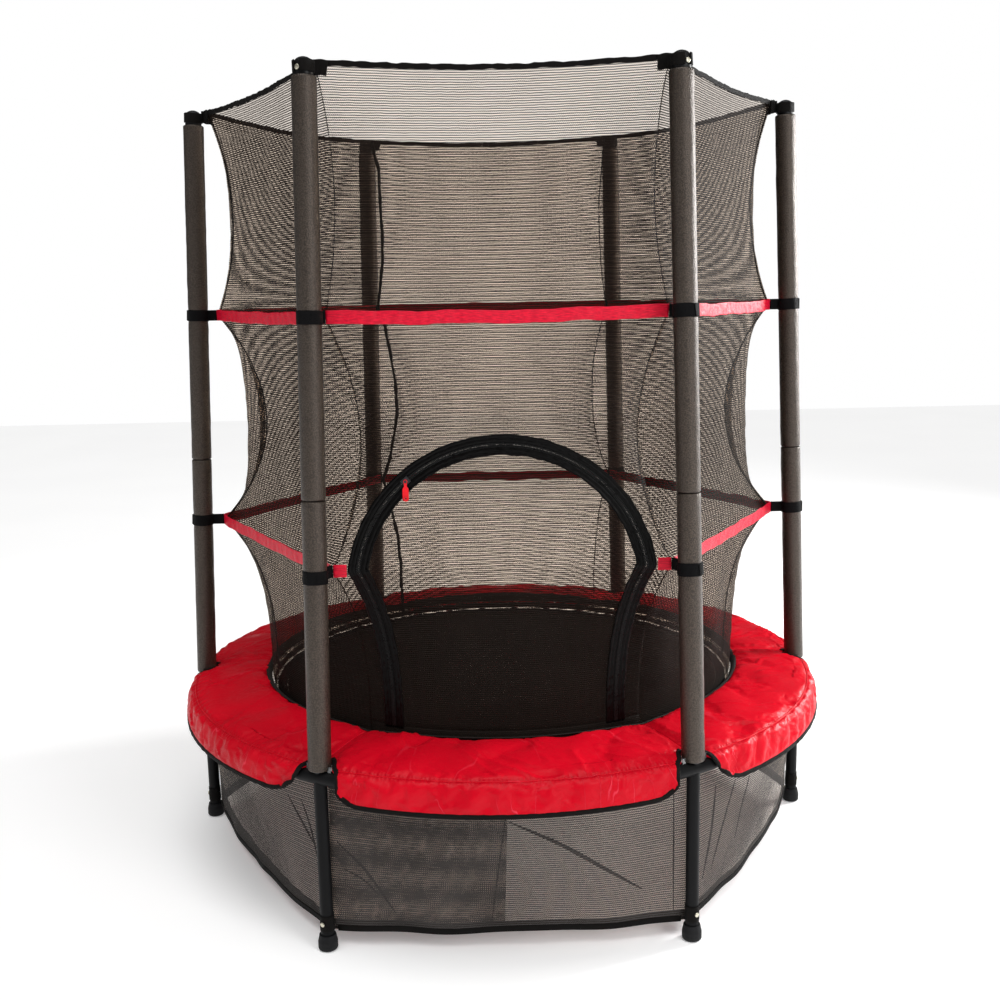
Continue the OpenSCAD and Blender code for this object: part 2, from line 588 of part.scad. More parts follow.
// Fabric pockets that hold the corners of the rim: a ring round each cap and two wings along the rim
pocket_len = 24;
pocket_h = 27;
pocket_t = 2;
module net_pockets() color("#1a1a1a") for (i = [0:POLES - 1]) {
    corner = rim_corner_r + 1;
    ring_r = cap_d/2 + seat;
    low = rim_z - pocket_h + 1.5;
    mid_s = (low + pocket_h/2 - rail_z)/cos(pole_lean);
    on_pole(i) translate([0, 0, mid_s - pocket_h/2]) difference() {
        tube(ring_r + pocket_t, ring_r, pocket_h);
        translate([0, 0, cap_screw_s - mid_s + pocket_h/2]) rotate([0, 90, 0])
            cylinder(r = screw_head_d/2 + 1, h = cap_d, $fn = 32);
    }
    rotate([0, 0, pole_angle(i)]) translate([0, 0, low + 0.5]) linear_extrude(pocket_h - 1) difference() {
        union() {
            for (side = [-1, 1]) translate([corner, 0]) rotate(side*120)
                translate([0, side > 0 ? -pocket_t : 0]) square([pocket_len, pocket_t]);
            translate([corner, -pocket_t/2]) square([cap_d/2, pocket_t]);
        }
        translate([pole_axis_r(rim_z - pocket_h/2), 0]) circle(r = ring_r + 1, $fn = 64);
    }
}

// Band sewn round the bottom of the net
hem_h = 12;
module net_hem() color("#171717") for (i = [0:POLES - 1]) panel(i) cloth(
    [for (k = [0:1]) [for (j = [0:COLS]) let (phi = col_phi(j), z = net_low_z - 0.4 + k*hem_h)
        polar(lower_r(max(z, net_low_z), phi) + cloth_gap + 1.5, phi, z)]], 1.5);

// ---- Straps ----

strap_gap = 0.6;
strap_end = 10;
// Straight strap along one side, from a to b measured from one of its corners
module strap_run(z, corner_r, a, b)
    translate([corner_r*cos(panel_half) + strap_gap, a - corner_r*sin(panel_half), z - strap_w/2])
    cube([strap_t, b - a, strap_w]);
module upper_strap() color("#d3122c") for (i = [0:POLES - 1]) panel(i)
    strap_run(upper_strap_z, upper_corner_r, strap_end, upper_corner_r - strap_end);
strap_stub = lower_corner_r*sin(panel_half) - door_half_w(lower_strap_z + strap_w/2, zip_tape_w + 3.5);
module lower_strap() color("#d3122c") for (i = [0:POLES - 1]) panel(i) {
    if (i == front_panel) {
        strap_run(lower_strap_z, lower_corner_r, strap_end, strap_stub);
        strap_run(lower_strap_z, lower_corner_r, lower_corner_r - strap_stub, lower_corner_r - strap_end);
    }
    else strap_run(lower_strap_z, lower_corner_r, strap_end, lower_corner_r - strap_end);
}

// Elastic loops: a ring round the foam and a tab to the corner of the net
module pole_loop(i, z, corner_r) {
    s = (z - rail_z)/cos(pole_lean);
    axis_r = pole_axis_r(z);
    on_pole(i) translate([0, 0, s - strap_w/2]) tube(foam_r + seat + strap_t, foam_r + seat, strap_w);
    rotate([0, 0, pole_angle(i)]) translate([0, 0, z - strap_w/2 + 1]) linear_extrude(strap_w - 2)
        difference() {
            union() {
                for (side = [-1, 1]) translate([corner_r + strap_gap*1.2, 0]) rotate(side*120)
                    translate([0, side > 0 ? -strap_t : 0]) square([strap_end - 0.6, strap_t]);
                translate([corner_r + strap_gap*1.2, -strap_t/2])
                    square([axis_r - foam_r - corner_r - 1.6, strap_t]);
            }
            translate([axis_r, 0]) circle(r = foam_r + 1.2, $fn = 64);
        }
}
module pole_loops() color("#191919") for (i = [0:POLES - 1]) {
    pole_loop(i, upper_strap_z, upper_corner_r);
    pole_loop(i, lower_strap_z, lower_corner_r);
}

// ---- Door ----

// One zip tape along the path: sections across it, with the coil beside the middle line
coil_w = 4;
// The tape stands clear of the net's fold at the lower strap: it takes the outermost of three heights
fold_reach = 4;
function tape_y(x, z) = min(front_y(x, z - fold_reach), front_y(x, z), front_y(x, z + fold_reach)) - cloth_gap;
function tape_section(k, side) = let (p = zip_path[k], n = path_normal(zip_path, k),
    across = [door_edge, door_edge, coil_w, coil_w, zip_tape_w, zip_tape_w],
    over = [0, zip_tape_t + zip_coil_h, zip_tape_t + zip_coil_h, zip_tape_t, zip_tape_t, 0])
    [for (q = [0:5]) let (x = p[0] + side*n[0]*across[q], z = max(sill_z + 0.6, p[1] + side*n[1]*across[q]))
        [x, tape_y(x, z) - over[q], z]];
module zip_tape(side) loft([for (k = [0:len(zip_path) - 1]) let (s = tape_section(k, side))
    side > 0 ? [for (q = [6:-1:1]) s[q%6]] : s]);
module zip_frame_tape() color("#111111") zip_tape(1);
module zip_flap_tape() color("#111111") zip_tape(-1);

DOOR_COLS = 8;
DOOR_ARC_ROWS = 9;
door_top_angle = 88;
door_rows = concat(
    [for (z = concat(leg_heights, [lower_strap_z])) [arch_leg_w(z) - door_edge, z]],
    [for (k = [1:DOOR_ARC_ROWS]) let (a = lerp(knee_angle, door_top_angle, k/DOOR_ARC_ROWS))
        [(arch_r - door_edge)*cos(a), arch_centre_z + (arch_r - door_edge)*sin(a)]]);
module door_net() color("#6b625a") cloth([for (row = door_rows) [for (j = [0:DOOR_COLS])
    let (x = lerp(-row[0], row[0], j/DOOR_COLS)) [x, front_y(x, row[1]), row[1]]]], net_t);

// The arch lies in a plane that leans with the side; the slider and its pull are drawn in that plane,
// with the arch's centre as origin, x to the right, y up the plane and z out of it
arch_lean = atan((lower_corner_r - upper_corner_r)*cos(panel_half)/(upper_strap_z - lower_strap_z));
arch_centre_y = -chord_y(arch_centre_z);
tape_face = cloth_gap + zip_tape_t;
slider_gap = 0.4;
slider_bore = 4.8;
slider_half_w = 6.4;
slider_len_angle = 3.2;
slider_h = 4.2;
post_r = 1.5;
module on_arch() translate([0, arch_centre_y, arch_centre_z]) rotate([90 - arch_lean, 0, 0]) children();
module zip_slider() color("#2b2b2d") on_arch() {
    // body: a saddle over the coil, following the arch
    rotate([0, 0, slider_angle - slider_len_angle/2]) rotate_extrude(angle = slider_len_angle, $fn = 180)
        translate([arch_r, tape_face + slider_gap]) polygon([
            [-slider_half_w, 0], [-slider_bore, 0], [-slider_bore, zip_coil_h], [slider_bore, zip_coil_h],
            [slider_bore, 0], [slider_half_w, 0], [slider_half_w - 1, slider_h], [-slider_half_w + 1, slider_h]]);
    // post and head that carry the pull
    translate(concat(slider_pivot, [slider_top - 1])) cylinder(r = post_r, h = pull_t + 2.2, $fn = 32);
    translate(concat(slider_pivot, [slider_top + pull_t + 1])) cylinder(r = post_r + 1, h = 0.8, $fn = 32);
}
slider_pivot = [arch_r*cos(slider_angle), arch_r*sin(slider_angle)];
slider_top = tape_face + slider_gap + slider_h;
pull_t = 1.6;
pull_neck = 9;
module zip_pull() color("#e0141c") on_arch() translate(concat(slider_pivot, [slider_top + 0.6]))
    linear_extrude(pull_t) difference() {
        r = pull_w/2;
        union() {
            circle(r = 3.6, $fn = 48);
            translate([-2.6, -pull_neck - r]) square([5.2, pull_neck + r]);
            translate([-r, r - pull_len]) square([pull_w, pull_len - pull_neck - 2*r]);
            for (y = [-pull_neck - r, r - pull_len]) translate([0, y]) circle(r = r, $fn = 48);
        }
        circle(r = post_r + 0.25, $fn = 48);
        translate([0, r - pull_len]) circle(r = 1.6, $fn = 32);
    }

// ---- Skirt net ----

function skirt_hem_z(phi) = skirt_corner_z + skirt_hem_rise*(1 - pow(phi/panel_half, 2));
function skirt_radius(phi, t) = let (u = phi/panel_half)
    skirt_r - skirt_draw*(1 - u*u)*pow(1 - t, 1.2)
    + skirt_fold*sin(4*180*(u + 1))*pow(1 - t, 2)*(1 - pow(u, 4));
SKIRT_ROWS = 4;
function skirt_point(phi, z, out = 0) = let (z0 = skirt_hem_z(phi), t = (z - z0)/(skirt_top_z - z0))
    polar(skirt_radius(phi, t) + out, phi, z);
SKIRT_COLS = 12;
function skirt_phi(j) = lerp(-panel_edge, panel_edge, j/SKIRT_COLS);
module skirt_net() color("#5d5a57") for (i = [0:POLES - 1]) panel(i) cloth(
    [for (k = [0:SKIRT_ROWS]) [for (j = [0:SKIRT_COLS]) let (phi = skirt_phi(j),
        z = lerp(skirt_hem_z(phi), skirt_top_z, k/SKIRT_ROWS)) skirt_point(phi, z)]], net_t);
skirt_hem_h = 12;
module skirt_hem() color("#141414") for (i = [0:POLES - 1]) panel(i) cloth(
    [for (k = [0:1]) [for (j = [1:SKIRT_COLS - 1]) let (phi = skirt_phi(j),
        z = skirt_hem_z(phi) - 2 + k*skirt_hem_h) skirt_point(phi, z, cloth_gap + 1.5)]], 1.5);

// A sleeve round the leg, sewn to the corner of the skirt
module skirt_patches() color("#19191a") for (i = [0:POLES - 1]) at_pole(i)
    translate([0, 0, skirt_corner_z - 12]) difference() {
        tube(frame_r + patch_t, frame_r + seat, patch_h);
        translate([0, 0, skirt_screw_z - skirt_corner_z + 12]) rotate([0, 90, 0])
            cylinder(r = screw_hole_r, h = frame_tube_d, $fn = 24);
    }

leg(0);  // leg_r
leg(1);  // leg_br
leg(2);  // leg_bl
leg(3);  // leg_l
leg(4);  // leg_fl
leg(5);  // leg_fr
tee(0);  // tee_r
tee(1);  // tee_br
tee(2);  // tee_bl
tee(3);  // tee_l
tee(4);  // tee_fl
tee(5);  // tee_fr
rail(0);  // rail_1
rail(1);  // rail_2
rail(2);  // rail_3
rail(3);  // rail_4
rail(4);  // rail_5
rail(5);  // rail_6
foam_low(0);  // foam_low_r
foam_low(1);  // foam_low_br
foam_low(2);  // foam_low_bl
foam_low(3);  // foam_low_l
foam_low(4);  // foam_low_fl
foam_low(5);  // foam_low_fr
foam_up(0);  // foam_up_r
foam_up(1);  // foam_up_br
foam_up(2);  // foam_up_bl
foam_up(3);  // foam_up_l
foam_up(4);  // foam_up_fl
foam_up(5);  // foam_up_fr
lower_poles();
upper_poles();
rubber_feet();
pole_caps();
screws();
jumping_mat();
mat_edge_band();
v_rings();
springs();
safety_pad();
pad_binding();
net_top();
net_middle();
net_lower();
net_front();
net_rim();
net_pockets();
net_hem();
upper_strap();
lower_strap();
pole_loops();
zip_frame_tape();
door_net();
zip_flap_tape();
zip_slider();
zip_pull();
skirt_net();
skirt_hem();
skirt_patches();
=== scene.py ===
"""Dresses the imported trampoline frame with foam, mat, springs, pad, net, door, straps and skirt."""

import math

import bpy
import numpy as np
from bpy.props import FloatProperty, FloatVectorProperty, IntProperty, PointerProperty
from mathutils import Matrix, Vector


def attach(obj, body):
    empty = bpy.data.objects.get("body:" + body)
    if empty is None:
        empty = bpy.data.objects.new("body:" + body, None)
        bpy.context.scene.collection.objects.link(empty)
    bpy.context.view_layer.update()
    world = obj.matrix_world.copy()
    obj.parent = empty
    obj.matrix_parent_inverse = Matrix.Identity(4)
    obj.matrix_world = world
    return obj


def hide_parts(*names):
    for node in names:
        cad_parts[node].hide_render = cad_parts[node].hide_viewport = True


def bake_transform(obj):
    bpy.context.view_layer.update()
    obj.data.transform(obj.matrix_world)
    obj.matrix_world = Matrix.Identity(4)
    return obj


bl_info = {
    "name": "Enclosure Trampoline",
    "version": (1, 0, 0),
    "blender": (4, 5, 0),
    "location": "3D View > Sidebar > Trampoline",
    "description": "Soft goods, springs, fittings and finishes around the packed trampoline frame",
    "category": "Object",
}

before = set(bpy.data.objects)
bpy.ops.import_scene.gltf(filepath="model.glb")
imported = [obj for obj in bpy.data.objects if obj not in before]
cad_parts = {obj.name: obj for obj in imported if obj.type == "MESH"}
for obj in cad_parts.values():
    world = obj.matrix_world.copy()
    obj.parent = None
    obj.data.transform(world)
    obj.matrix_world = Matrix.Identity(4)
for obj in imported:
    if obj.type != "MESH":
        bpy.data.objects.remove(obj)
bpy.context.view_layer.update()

# ---- Sizes shared with the frame, in millimetres and radians ----

MM = 0.001
SIDES = 6
HALF_SIDE = math.radians(30.0)
CORNERS = ("r", "br", "bl", "l", "fl", "fr")
SIDE_NAMES = ("right_back", "back", "left_back", "left_front", "front", "right_front")
FRONT = 4

LEG_CIRCLE_R = 683.0
RAIL_Z = 340.0
TUBE_R = 12.5
TEE_R = 14.0
POLE_R = 11.0
POLE_LEAN = math.radians(2.25)
POLE_JOINT_S = 510.0
FOAM_R = 21.5
FOAM_LOW_S = 14.3
FOAM_TOP_S = 1229.0

PAD_INNER_R = LEG_CIRCLE_R - 157.0
MAT_R = PAD_INNER_R - 15.0
MAT_BAND_W = 21.0
MAT_Z = RAIL_Z + 5.5
RING_START_R = MAT_R + 0.2
RING_R = 9.0
RING_WIRE_R = 1.6
SPRINGS = 36
NET_LOW_R = PAD_INNER_R - 5.0
WAIST_R = LEG_CIRCLE_R - 166.0

NET_LOW_Z = 349.0
PAD_LOW_Z = 354.6
PAD_EDGE_Z = 378.6
SILL_Z = 391.6
LOWER_STRAP_Z = 712.0
UPPER_STRAP_Z = 1167.0
RIM_Z = 1597.0
RIM_SAG = 12.0
TOP_DRAW = 0.46
NET_FOLD = 5.0
NET_INSET = 0.3
KNIT_T = 0.9
WAVE_R = 600

VALANCE_Z = 303.5
NOTCH_R = 24.5
NOTCH_HALF_W = 52.0

SKIRT_R = LEG_CIRCLE_R - TEE_R - 0.3
SKIRT_TOP_Z = 338.1
SKIRT_CORNER_Z = 50.0
SKIRT_HEM_Z = 31.0
SKIRT_HEM_RISE = 4.0
SKIRT_DRAW = 60.0
SKIRT_FOLD = 1.2


def pole_axis_r(z):
    """Distance of a pole's axis from the middle at height z."""
    return LEG_CIRCLE_R - (z - RAIL_Z) * math.tan(POLE_LEAN)


RIM_CORNER_R = pole_axis_r(RIM_Z) - 26.0
UPPER_CORNER_R = pole_axis_r(UPPER_STRAP_Z) - 41.5
LOWER_CORNER_R = pole_axis_r(LOWER_STRAP_Z) - 48.0
ARCH_R = LOWER_CORNER_R / 2 - 44.0
ARCH_DROP = 42.0
ARCH_Z = LOWER_STRAP_Z - ARCH_DROP
SILL_HALF_W = ARCH_R - 54.0
KNEE_W = math.sqrt(ARCH_R**2 - ARCH_DROP**2)
KNEE = math.asin(ARCH_DROP / ARCH_R)
TAPE_W = 18.5
ARCH_CLEAR_R = ARCH_R + TAPE_W + 1.5


# ---- Shapes of the net ----


def hexagon_r(corner_r, phi):
    """Radius of a straight side whose corners lie at corner_r."""
    return corner_r * math.cos(HALF_SIDE) / np.cos(phi)


def middle_r(z, phi, front):
    """The net between the straps, drawn in at its corners; in front only beyond the zip."""
    s = (z - LOWER_STRAP_Z) / (UPPER_STRAP_Z - LOWER_STRAP_Z)
    corner = LOWER_CORNER_R + (UPPER_CORNER_R - LOWER_CORNER_R) * s
    chord = corner * math.cos(HALF_SIDE)
    x, x_corner = chord * np.tan(np.abs(phi)), chord * math.tan(HALF_SIDE)
    reach = 1.03 * np.sqrt(np.maximum(0.0, ARCH_CLEAR_R**2 - (z - ARCH_Z) ** 2))
    start = np.where(z < ARCH_Z + ARCH_CLEAR_R, reach, 0.0) if front else 0.0 * z
    share = np.clip((x - start) / (x_corner - start), 0, 1) ** 2
    b = 4 * s * (1 - s) * share
    return hexagon_r(corner, phi) * (1 - b) + WAIST_R * b


def top_r(z, phi):
    """The net above the upper strap."""
    s = (z - UPPER_STRAP_Z) / (RIM_Z - UPPER_STRAP_Z)
    b = TOP_DRAW * 4 * s * (1 - s) * (phi / HALF_SIDE) ** 2
    corner = UPPER_CORNER_R + (RIM_CORNER_R - UPPER_CORNER_R) * s
    return hexagon_r(corner, phi) * (1 - b) + WAIST_R * b


def lower_r(z, phi):
    """The net below the lower strap, from its hexagon to the circle inside the pad."""
    s = np.clip((z - PAD_EDGE_Z) / (LOWER_STRAP_Z - PAD_EDGE_Z), 0, 1)
    tuck = np.clip((z - NET_LOW_Z) / (PAD_EDGE_Z - NET_LOW_Z), 0, 1)
    base = MAT_R + 3 + (NET_LOW_R - MAT_R - 3) * tuck
    h = s**2.8
    return hexagon_r(LOWER_CORNER_R, phi) * h + base * (1 - h)


def lower_fold(z, phi):
    """Long soft folds that the lower tier hangs in."""
    s = np.clip((z - PAD_EDGE_Z) / (LOWER_STRAP_Z - PAD_EDGE_Z), 0, 1)
    u = phi / HALF_SIDE
    return NET_FOLD * 4 * s * (1 - s) * np.sin(3 * math.pi * (u + 1)) * (1 - u**4)


def rim_height(phi):
    """Height of the rim, which sags between two poles."""
    return RIM_Z - RIM_SAG * (1 - (phi / HALF_SIDE) ** 2)


def front_r(z, phi):
    """Radius of the front side."""
    return np.where(z < LOWER_STRAP_Z - 0.01, lower_r(z, phi), middle_r(z, phi, True))


def front_y(x, z):
    """Depth of the front side's outer face at x and z; the angle is found by halving."""
    x, z = np.broadcast_arrays(np.asarray(x, float), np.asarray(z, float))
    low, high = np.zeros(x.shape), np.full(x.shape, HALF_SIDE)
    for _ in range(24):
        mid = (low + high) / 2
        past = front_r(z, mid) * np.sin(mid) > np.abs(x)
        low, high = np.where(past, low, mid), np.where(past, mid, high)
    return -front_r(z, low) * np.cos(low)


def front_corner_x(z):
    """Half width of the front side."""
    return front_r(np.asarray(z, float), HALF_SIDE) * math.sin(HALF_SIDE)


def arch_leg_w(z):
    """Half width of the zip's middle line below the lower strap."""
    s = np.clip((z - SILL_Z) / (LOWER_STRAP_Z - SILL_Z), 0, 1)
    return SILL_HALF_W + (KNEE_W - SILL_HALF_W) * s**2.7


def zip_line(leg_steps, arc_steps):
    """Middle line of the zip as rows of x and z, from the left sill to the right one."""
    z = np.linspace(SILL_Z - 3, LOWER_STRAP_Z, leg_steps, endpoint=False)
    a = np.linspace(math.pi - KNEE, KNEE, arc_steps)
    left = np.stack([-arch_leg_w(z), z], axis=1)
    arc = np.stack([ARCH_R * np.cos(a), ARCH_Z + ARCH_R * np.sin(a)], axis=1)
    return np.concatenate([left, arc, left[::-1] * (-1, 1)])


def skirt_r(phi, t):
    """Radius of the skirt at t of its height, from 0 at its hem to 1 under the rail."""
    u = phi / HALF_SIDE
    fold = SKIRT_FOLD * np.sin(4 * math.pi * (u + 1)) * (1 - t) ** 2 * (1 - u**4)
    return SKIRT_R - SKIRT_DRAW * (1 - u * u) * (1 - t) ** 1.2 + fold


def skirt_hem_z(phi):
    """Height of the bottom of the skirt."""
    u = phi / HALF_SIDE
    return SKIRT_HEM_Z + SKIRT_HEM_RISE * (1 - u * u) + 2.2 * np.sin(7.3 * u + 0.8) * (1 - u**4)


# ---- Placing ----


def turned(points, angle):
    """Points turned about the vertical axis."""
    p = np.asarray(points, float)
    c, s = math.cos(angle), math.sin(angle)
    return np.stack(
        [p[..., 0] * c - p[..., 1] * s, p[..., 0] * s + p[..., 1] * c, p[..., 2]], axis=-1
    )


def side_angle(side):
    """Angle of the middle of a side."""
    return math.radians(60 * side + 30)


def corner_angle(corner):
    """Angle of a pole."""
    return math.radians(60 * corner)


def heading(angle, start=(1.0, 0.0, 0.0)):
    """A direction turned about the vertical axis."""
    return turned(start, angle)


def side_span(count):
    """Even angles from the first corner of a side to its second."""
    return np.linspace(-HALF_SIDE, HALF_SIDE, count)


def on_side(side, r, phi, z):
    """Points of one side, given by radius, angle from its middle, and height."""
    r, phi, z = np.broadcast_arrays(r, phi, z)
    angle = side_angle(side) + phi
    return np.stack([r * np.cos(angle), r * np.sin(angle), z], axis=-1)


def outwards(side, phi):
    """Level directions outwards at angles of a side."""
    return on_side(side, np.ones(phi.shape), phi, 0 * phi)


def on_pole(corner, x, y, s):
    """Points in a pole's axes: x outwards, y along the ring, s up the pole from the rail."""
    x, y, s = np.broadcast_arrays(np.asarray(x, float), y, s)
    c, n = math.cos(POLE_LEAN), math.sin(POLE_LEAN)
    points = np.stack([LEG_CIRCLE_R + x * c - s * n, y, RAIL_Z + x * n + s * c], axis=-1)
    return turned(points, corner_angle(corner))


def swell(x, y, wave, seed, terms=7):
    """Smooth seeded unevenness, about -1 to 1, in bumps about one wave long."""
    rng = np.random.default_rng(seed)
    total = 0.0
    for _ in range(terms):
        way, turn = rng.uniform(0, math.tau, 2)
        k = math.tau / (wave * rng.uniform(0.7, 1.6))
        total = total + np.sin(k * (x * math.cos(way) + y * math.sin(way)) + turn)
    return np.clip(total / math.sqrt(terms), -1.6, 1.6)


def crease(x, y, wave, seed):
    """Narrow seeded ridges, 0 to 1, with flat stretches between them."""
    ridge = np.clip(1 - 2.4 * np.abs(swell(x, y, wave, seed)), 0, 1)
    return ridge**1.5 * np.clip(0.4 + swell(x, y, 1.7 * wave, seed + 50), 0, 1)


# ---- Meshes ----


def distances(line):
    """Distance along a line from its first point to each of its points."""
    return np.concatenate([[0], np.cumsum(np.linalg.norm(np.diff(line, axis=0), axis=1))])


def grid_shell(rows, uv=None, wrap=False, wrap_rows=False, flip=False):
    """Points, faces and corner coordinates of a grid of points in millimetres."""
    rows = np.asarray(rows, float)
    n, m = rows.shape[:2]
    if uv is None:
        along = distances(rows[:, 0])
        across = distances(rows[0])
        uv = np.stack(np.meshgrid(across, along), axis=-1)
    uv = np.asarray(uv, float)
    if wrap:
        uv = np.concatenate([uv, uv[:, -1:] + (uv[:, -1:] - uv[:, -2:-1])], axis=1)
    if wrap_rows:
        uv = np.concatenate([uv, uv[-1:] + (uv[-1:] - uv[-2:-1])], axis=0)
    i, j = np.meshgrid(
        np.arange(n if wrap_rows else n - 1), np.arange(m if wrap else m - 1), indexing="ij"
    )
    i, j = i.ravel(), j.ravel()
    down, right = (i + 1) % n, (j + 1) % m
    faces = np.stack([i * m + j, i * m + right, down * m + right, down * m + j], axis=1)
    corners = np.stack([uv[i, j], uv[i, j + 1], uv[i + 1, j + 1], uv[i + 1, j]], axis=1)
    if flip:
        faces, corners = faces[:, ::-1], corners[:, ::-1]
    return rows.reshape(-1, 3), faces.tolist(), corners.reshape(-1, 2)


def add_caps(shell, m, flip=False):
    """Closes the two ends of a wrapped grid whose rows have m points."""
    points, faces, corners = shell
    last = len(points) - m
    ends = [list(range(m))[::-1], [last + k for k in range(m)]]
    if flip:
        ends = [e[::-1] for e in ends]
    flat = np.zeros((2 * m, 2))
    return points, faces + ends, np.concatenate([corners, flat])


def slab_shell(rows, back, uv):
    """A closed sheet: the grid, the same grid moved by back, and walls all round."""
    rows = np.asarray(rows, float)
    n, m = rows.shape[:2]
    front_points, faces, corners = grid_shell(rows, uv)
    back_faces = [[k + n * m for k in f[::-1]] for f in faces]
    back_corners = corners.reshape(-1, 4, 2)[:, ::-1].reshape(-1, 2)
    loop = list(range(m)) + [i * m + m - 1 for i in range(1, n)]
    loop += [(n - 1) * m + j for j in range(m - 2, -1, -1)] + [i * m for i in range(n - 2, 0, -1)]
    flat = np.asarray(uv, float).reshape(-1, 2)
    walls, wall_corners = [], []
    for a, b in zip(loop, loop[1:] + loop[:1]):
        walls.append([b, a, a + n * m, b + n * m])
        wall_corners += [flat[b], flat[a], flat[a] + 0.5, flat[b] + 0.5]
    points = np.concatenate([front_points, (rows + back).reshape(-1, 3)])
    return points, faces + back_faces + walls, np.concatenate([corners, back_corners, wall_corners])


def unit(v):
    """Vectors of length one."""
    v = np.asarray(v, float)
    return v / np.maximum(np.linalg.norm(v, axis=-1, keepdims=True), 1e-9)


def sweep_shell(line, facing, section, closed=False):
    """A closed band or tube along a line; a section's points are across, and out to facing."""
    line = np.asarray(line, float)
    if closed:
        way = np.roll(line, -1, axis=0) - np.roll(line, 1, axis=0)
    else:
        way = np.gradient(line, axis=0)
    way = unit(way)
    out = np.broadcast_to(np.asarray(facing, float), line.shape)
    out = unit(out - way * np.sum(out * way, axis=1, keepdims=True))
    across = np.cross(way, out)
    section = np.asarray(section, float)
    if section.ndim == 2:
        section = np.broadcast_to(section, (len(line),) + section.shape)
    rows = line[:, None] + across[:, None] * section[..., 0:1] + out[:, None] * section[..., 1:2]
    lengths = distances(line)
    girth = distances(section[0])
    uv = np.stack(np.meshgrid(girth, lengths), axis=-1)
    shell = grid_shell(rows, uv, wrap=True, wrap_rows=closed, flip=True)
    return shell if closed else add_caps(shell, rows.shape[1], flip=True)


def repeated(section, count):
    """One section for each point of a line, to be changed one by one."""
    return np.broadcast_to(section, (count,) + section.shape).copy()


def round_section(r, steps=8):
    """A circle as a section."""
    a = np.linspace(0, math.tau, steps, endpoint=False)
    return np.stack([r * np.cos(a), r * np.sin(a)], axis=1)


def band_section(width, thickness, faces=6, corner=2):
    """A flat band with rounded edges as a section, its back at out 0."""
    r = min(thickness, width) / 2 * 0.98
    half, t = width / 2 - r, thickness
    rise = np.linspace(-half, half, faces + 1)
    bend = np.linspace(-math.pi / 2, math.pi / 2, corner + 3)[1:-1]
    right = [(half + r * math.cos(a), t / 2 + t / 2 * math.sin(a)) for a in bend]
    left = [(-half - r * math.cos(a), t / 2 - t / 2 * math.sin(a)) for a in bend]
    return np.array([(x, 0) for x in rise] + right + [(x, t) for x in rise[::-1]] + left)


def resample(line, count):
    """The same line with points at equal distances."""
    line = np.asarray(line, float)
    t = distances(line)
    return np.stack(
        [np.interp(np.linspace(0, t[-1], count), t, line[:, k]) for k in range(line.shape[1])],
        axis=1
    )


def smooth_line(points, count):
    """A smooth line through points, at equal distances."""
    p = np.asarray(points, float)
    t = distances(p)
    slope = np.gradient(p, t, axis=0)
    x = np.linspace(0, t[-1], 30 * len(p))
    k = np.clip(np.searchsorted(t, x, "right") - 1, 0, len(p) - 2)
    h = (t[k + 1] - t[k])[:, None]
    s = (x[:, None] - t[k][:, None]) / h
    line = (2 * s**3 - 3 * s**2 + 1) * p[k] + (s**3 - 2 * s**2 + s) * h * slope[k]
    line += (3 * s**2 - 2 * s**3) * p[k + 1] + (s**3 - s**2) * h * slope[k + 1]
    return resample(line, count)


def grid_normals(rows):
    """Unit normals of a grid of points."""
    rows = np.asarray(rows, float)
    return unit(np.cross(np.gradient(rows, axis=1), np.gradient(rows, axis=0)))


def add_piece(name, shells, finish, body, stands_for=(), smooth=True):
    """One object from shells, with its finish, its body and what it stands for."""
    shells = [shells] if isinstance(shells, tuple) else shells
    points, faces, corners, start = [], [], [], 0
    for p, f, c in shells:
        points.append(p)
        faces += [[k + start for k in face] for face in f]
        corners.append(c)
        start += len(p)
    mesh = bpy.data.meshes.new(name)
    mesh.from_pydata((np.concatenate(points) * MM).tolist(), [], faces)
    layer = mesh.uv_layers.new(name="fabric")
    layer.data.foreach_set("uv", (np.concatenate(corners) * MM).astype(np.float32).ravel())
    mesh.polygons.foreach_set("use_smooth", [smooth] * len(faces))
    mesh.materials.append(finish)
    piece = bpy.data.objects.new(name, mesh)
    bpy.context.scene.collection.objects.link(piece)
    if body is not None:
        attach(piece, body)
    if stands_for:
        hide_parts(*stands_for)
    return piece


def settle(piece, held, slack, pressure, cap, frames=18):
    """Lets a sewn cover buckle: Cloth with pressure and spare fabric, held along its seams."""
    mesh = piece.data
    group = piece.vertex_groups.new(name="held")
    for weight in np.unique(held[held > 0]):
        group.add(np.nonzero(held == weight)[0].tolist(), float(weight), "REPLACE")
    cloth = piece.modifiers.new("cover", "CLOTH")
    cloth.settings.quality = 5
    cloth.settings.mass = 0.2
    cloth.settings.tension_stiffness = cloth.settings.compression_stiffness = 12
    cloth.settings.bending_stiffness = 0.08
    cloth.settings.use_pressure = True
    cloth.settings.uniform_pressure_force = pressure
    cloth.settings.shrink_min = cloth.settings.shrink_max = -slack
    cloth.settings.vertex_group_mass = "held"
    cloth.settings.effector_weights.gravity = 0
    cloth.collision_settings.use_collision = False
    cloth.point_cache.frame_start, cloth.point_cache.frame_end = 1, frames
    rest = np.empty(len(mesh.vertices) * 3, np.float32)
    mesh.vertices.foreach_get("co", rest)
    for number in range(1, frames + 1):
        bpy.context.scene.frame_set(number)
    moved = np.empty_like(rest)
    evaluated = piece.evaluated_get(bpy.context.evaluated_depsgraph_get())
    evaluated.data.vertices.foreach_get("co", moved)
    piece.modifiers.remove(cloth)
    piece.vertex_groups.remove(group)
    bpy.context.scene.frame_set(1)
    step = (moved - rest).reshape(-1, 3)
    length = np.linalg.norm(step, axis=1, keepdims=True)
    step *= np.minimum(1, cap * MM / np.maximum(length, 1e-9))
    mesh.vertices.foreach_set("co", (rest.reshape(-1, 3) + step).ravel())
    mesh.update()


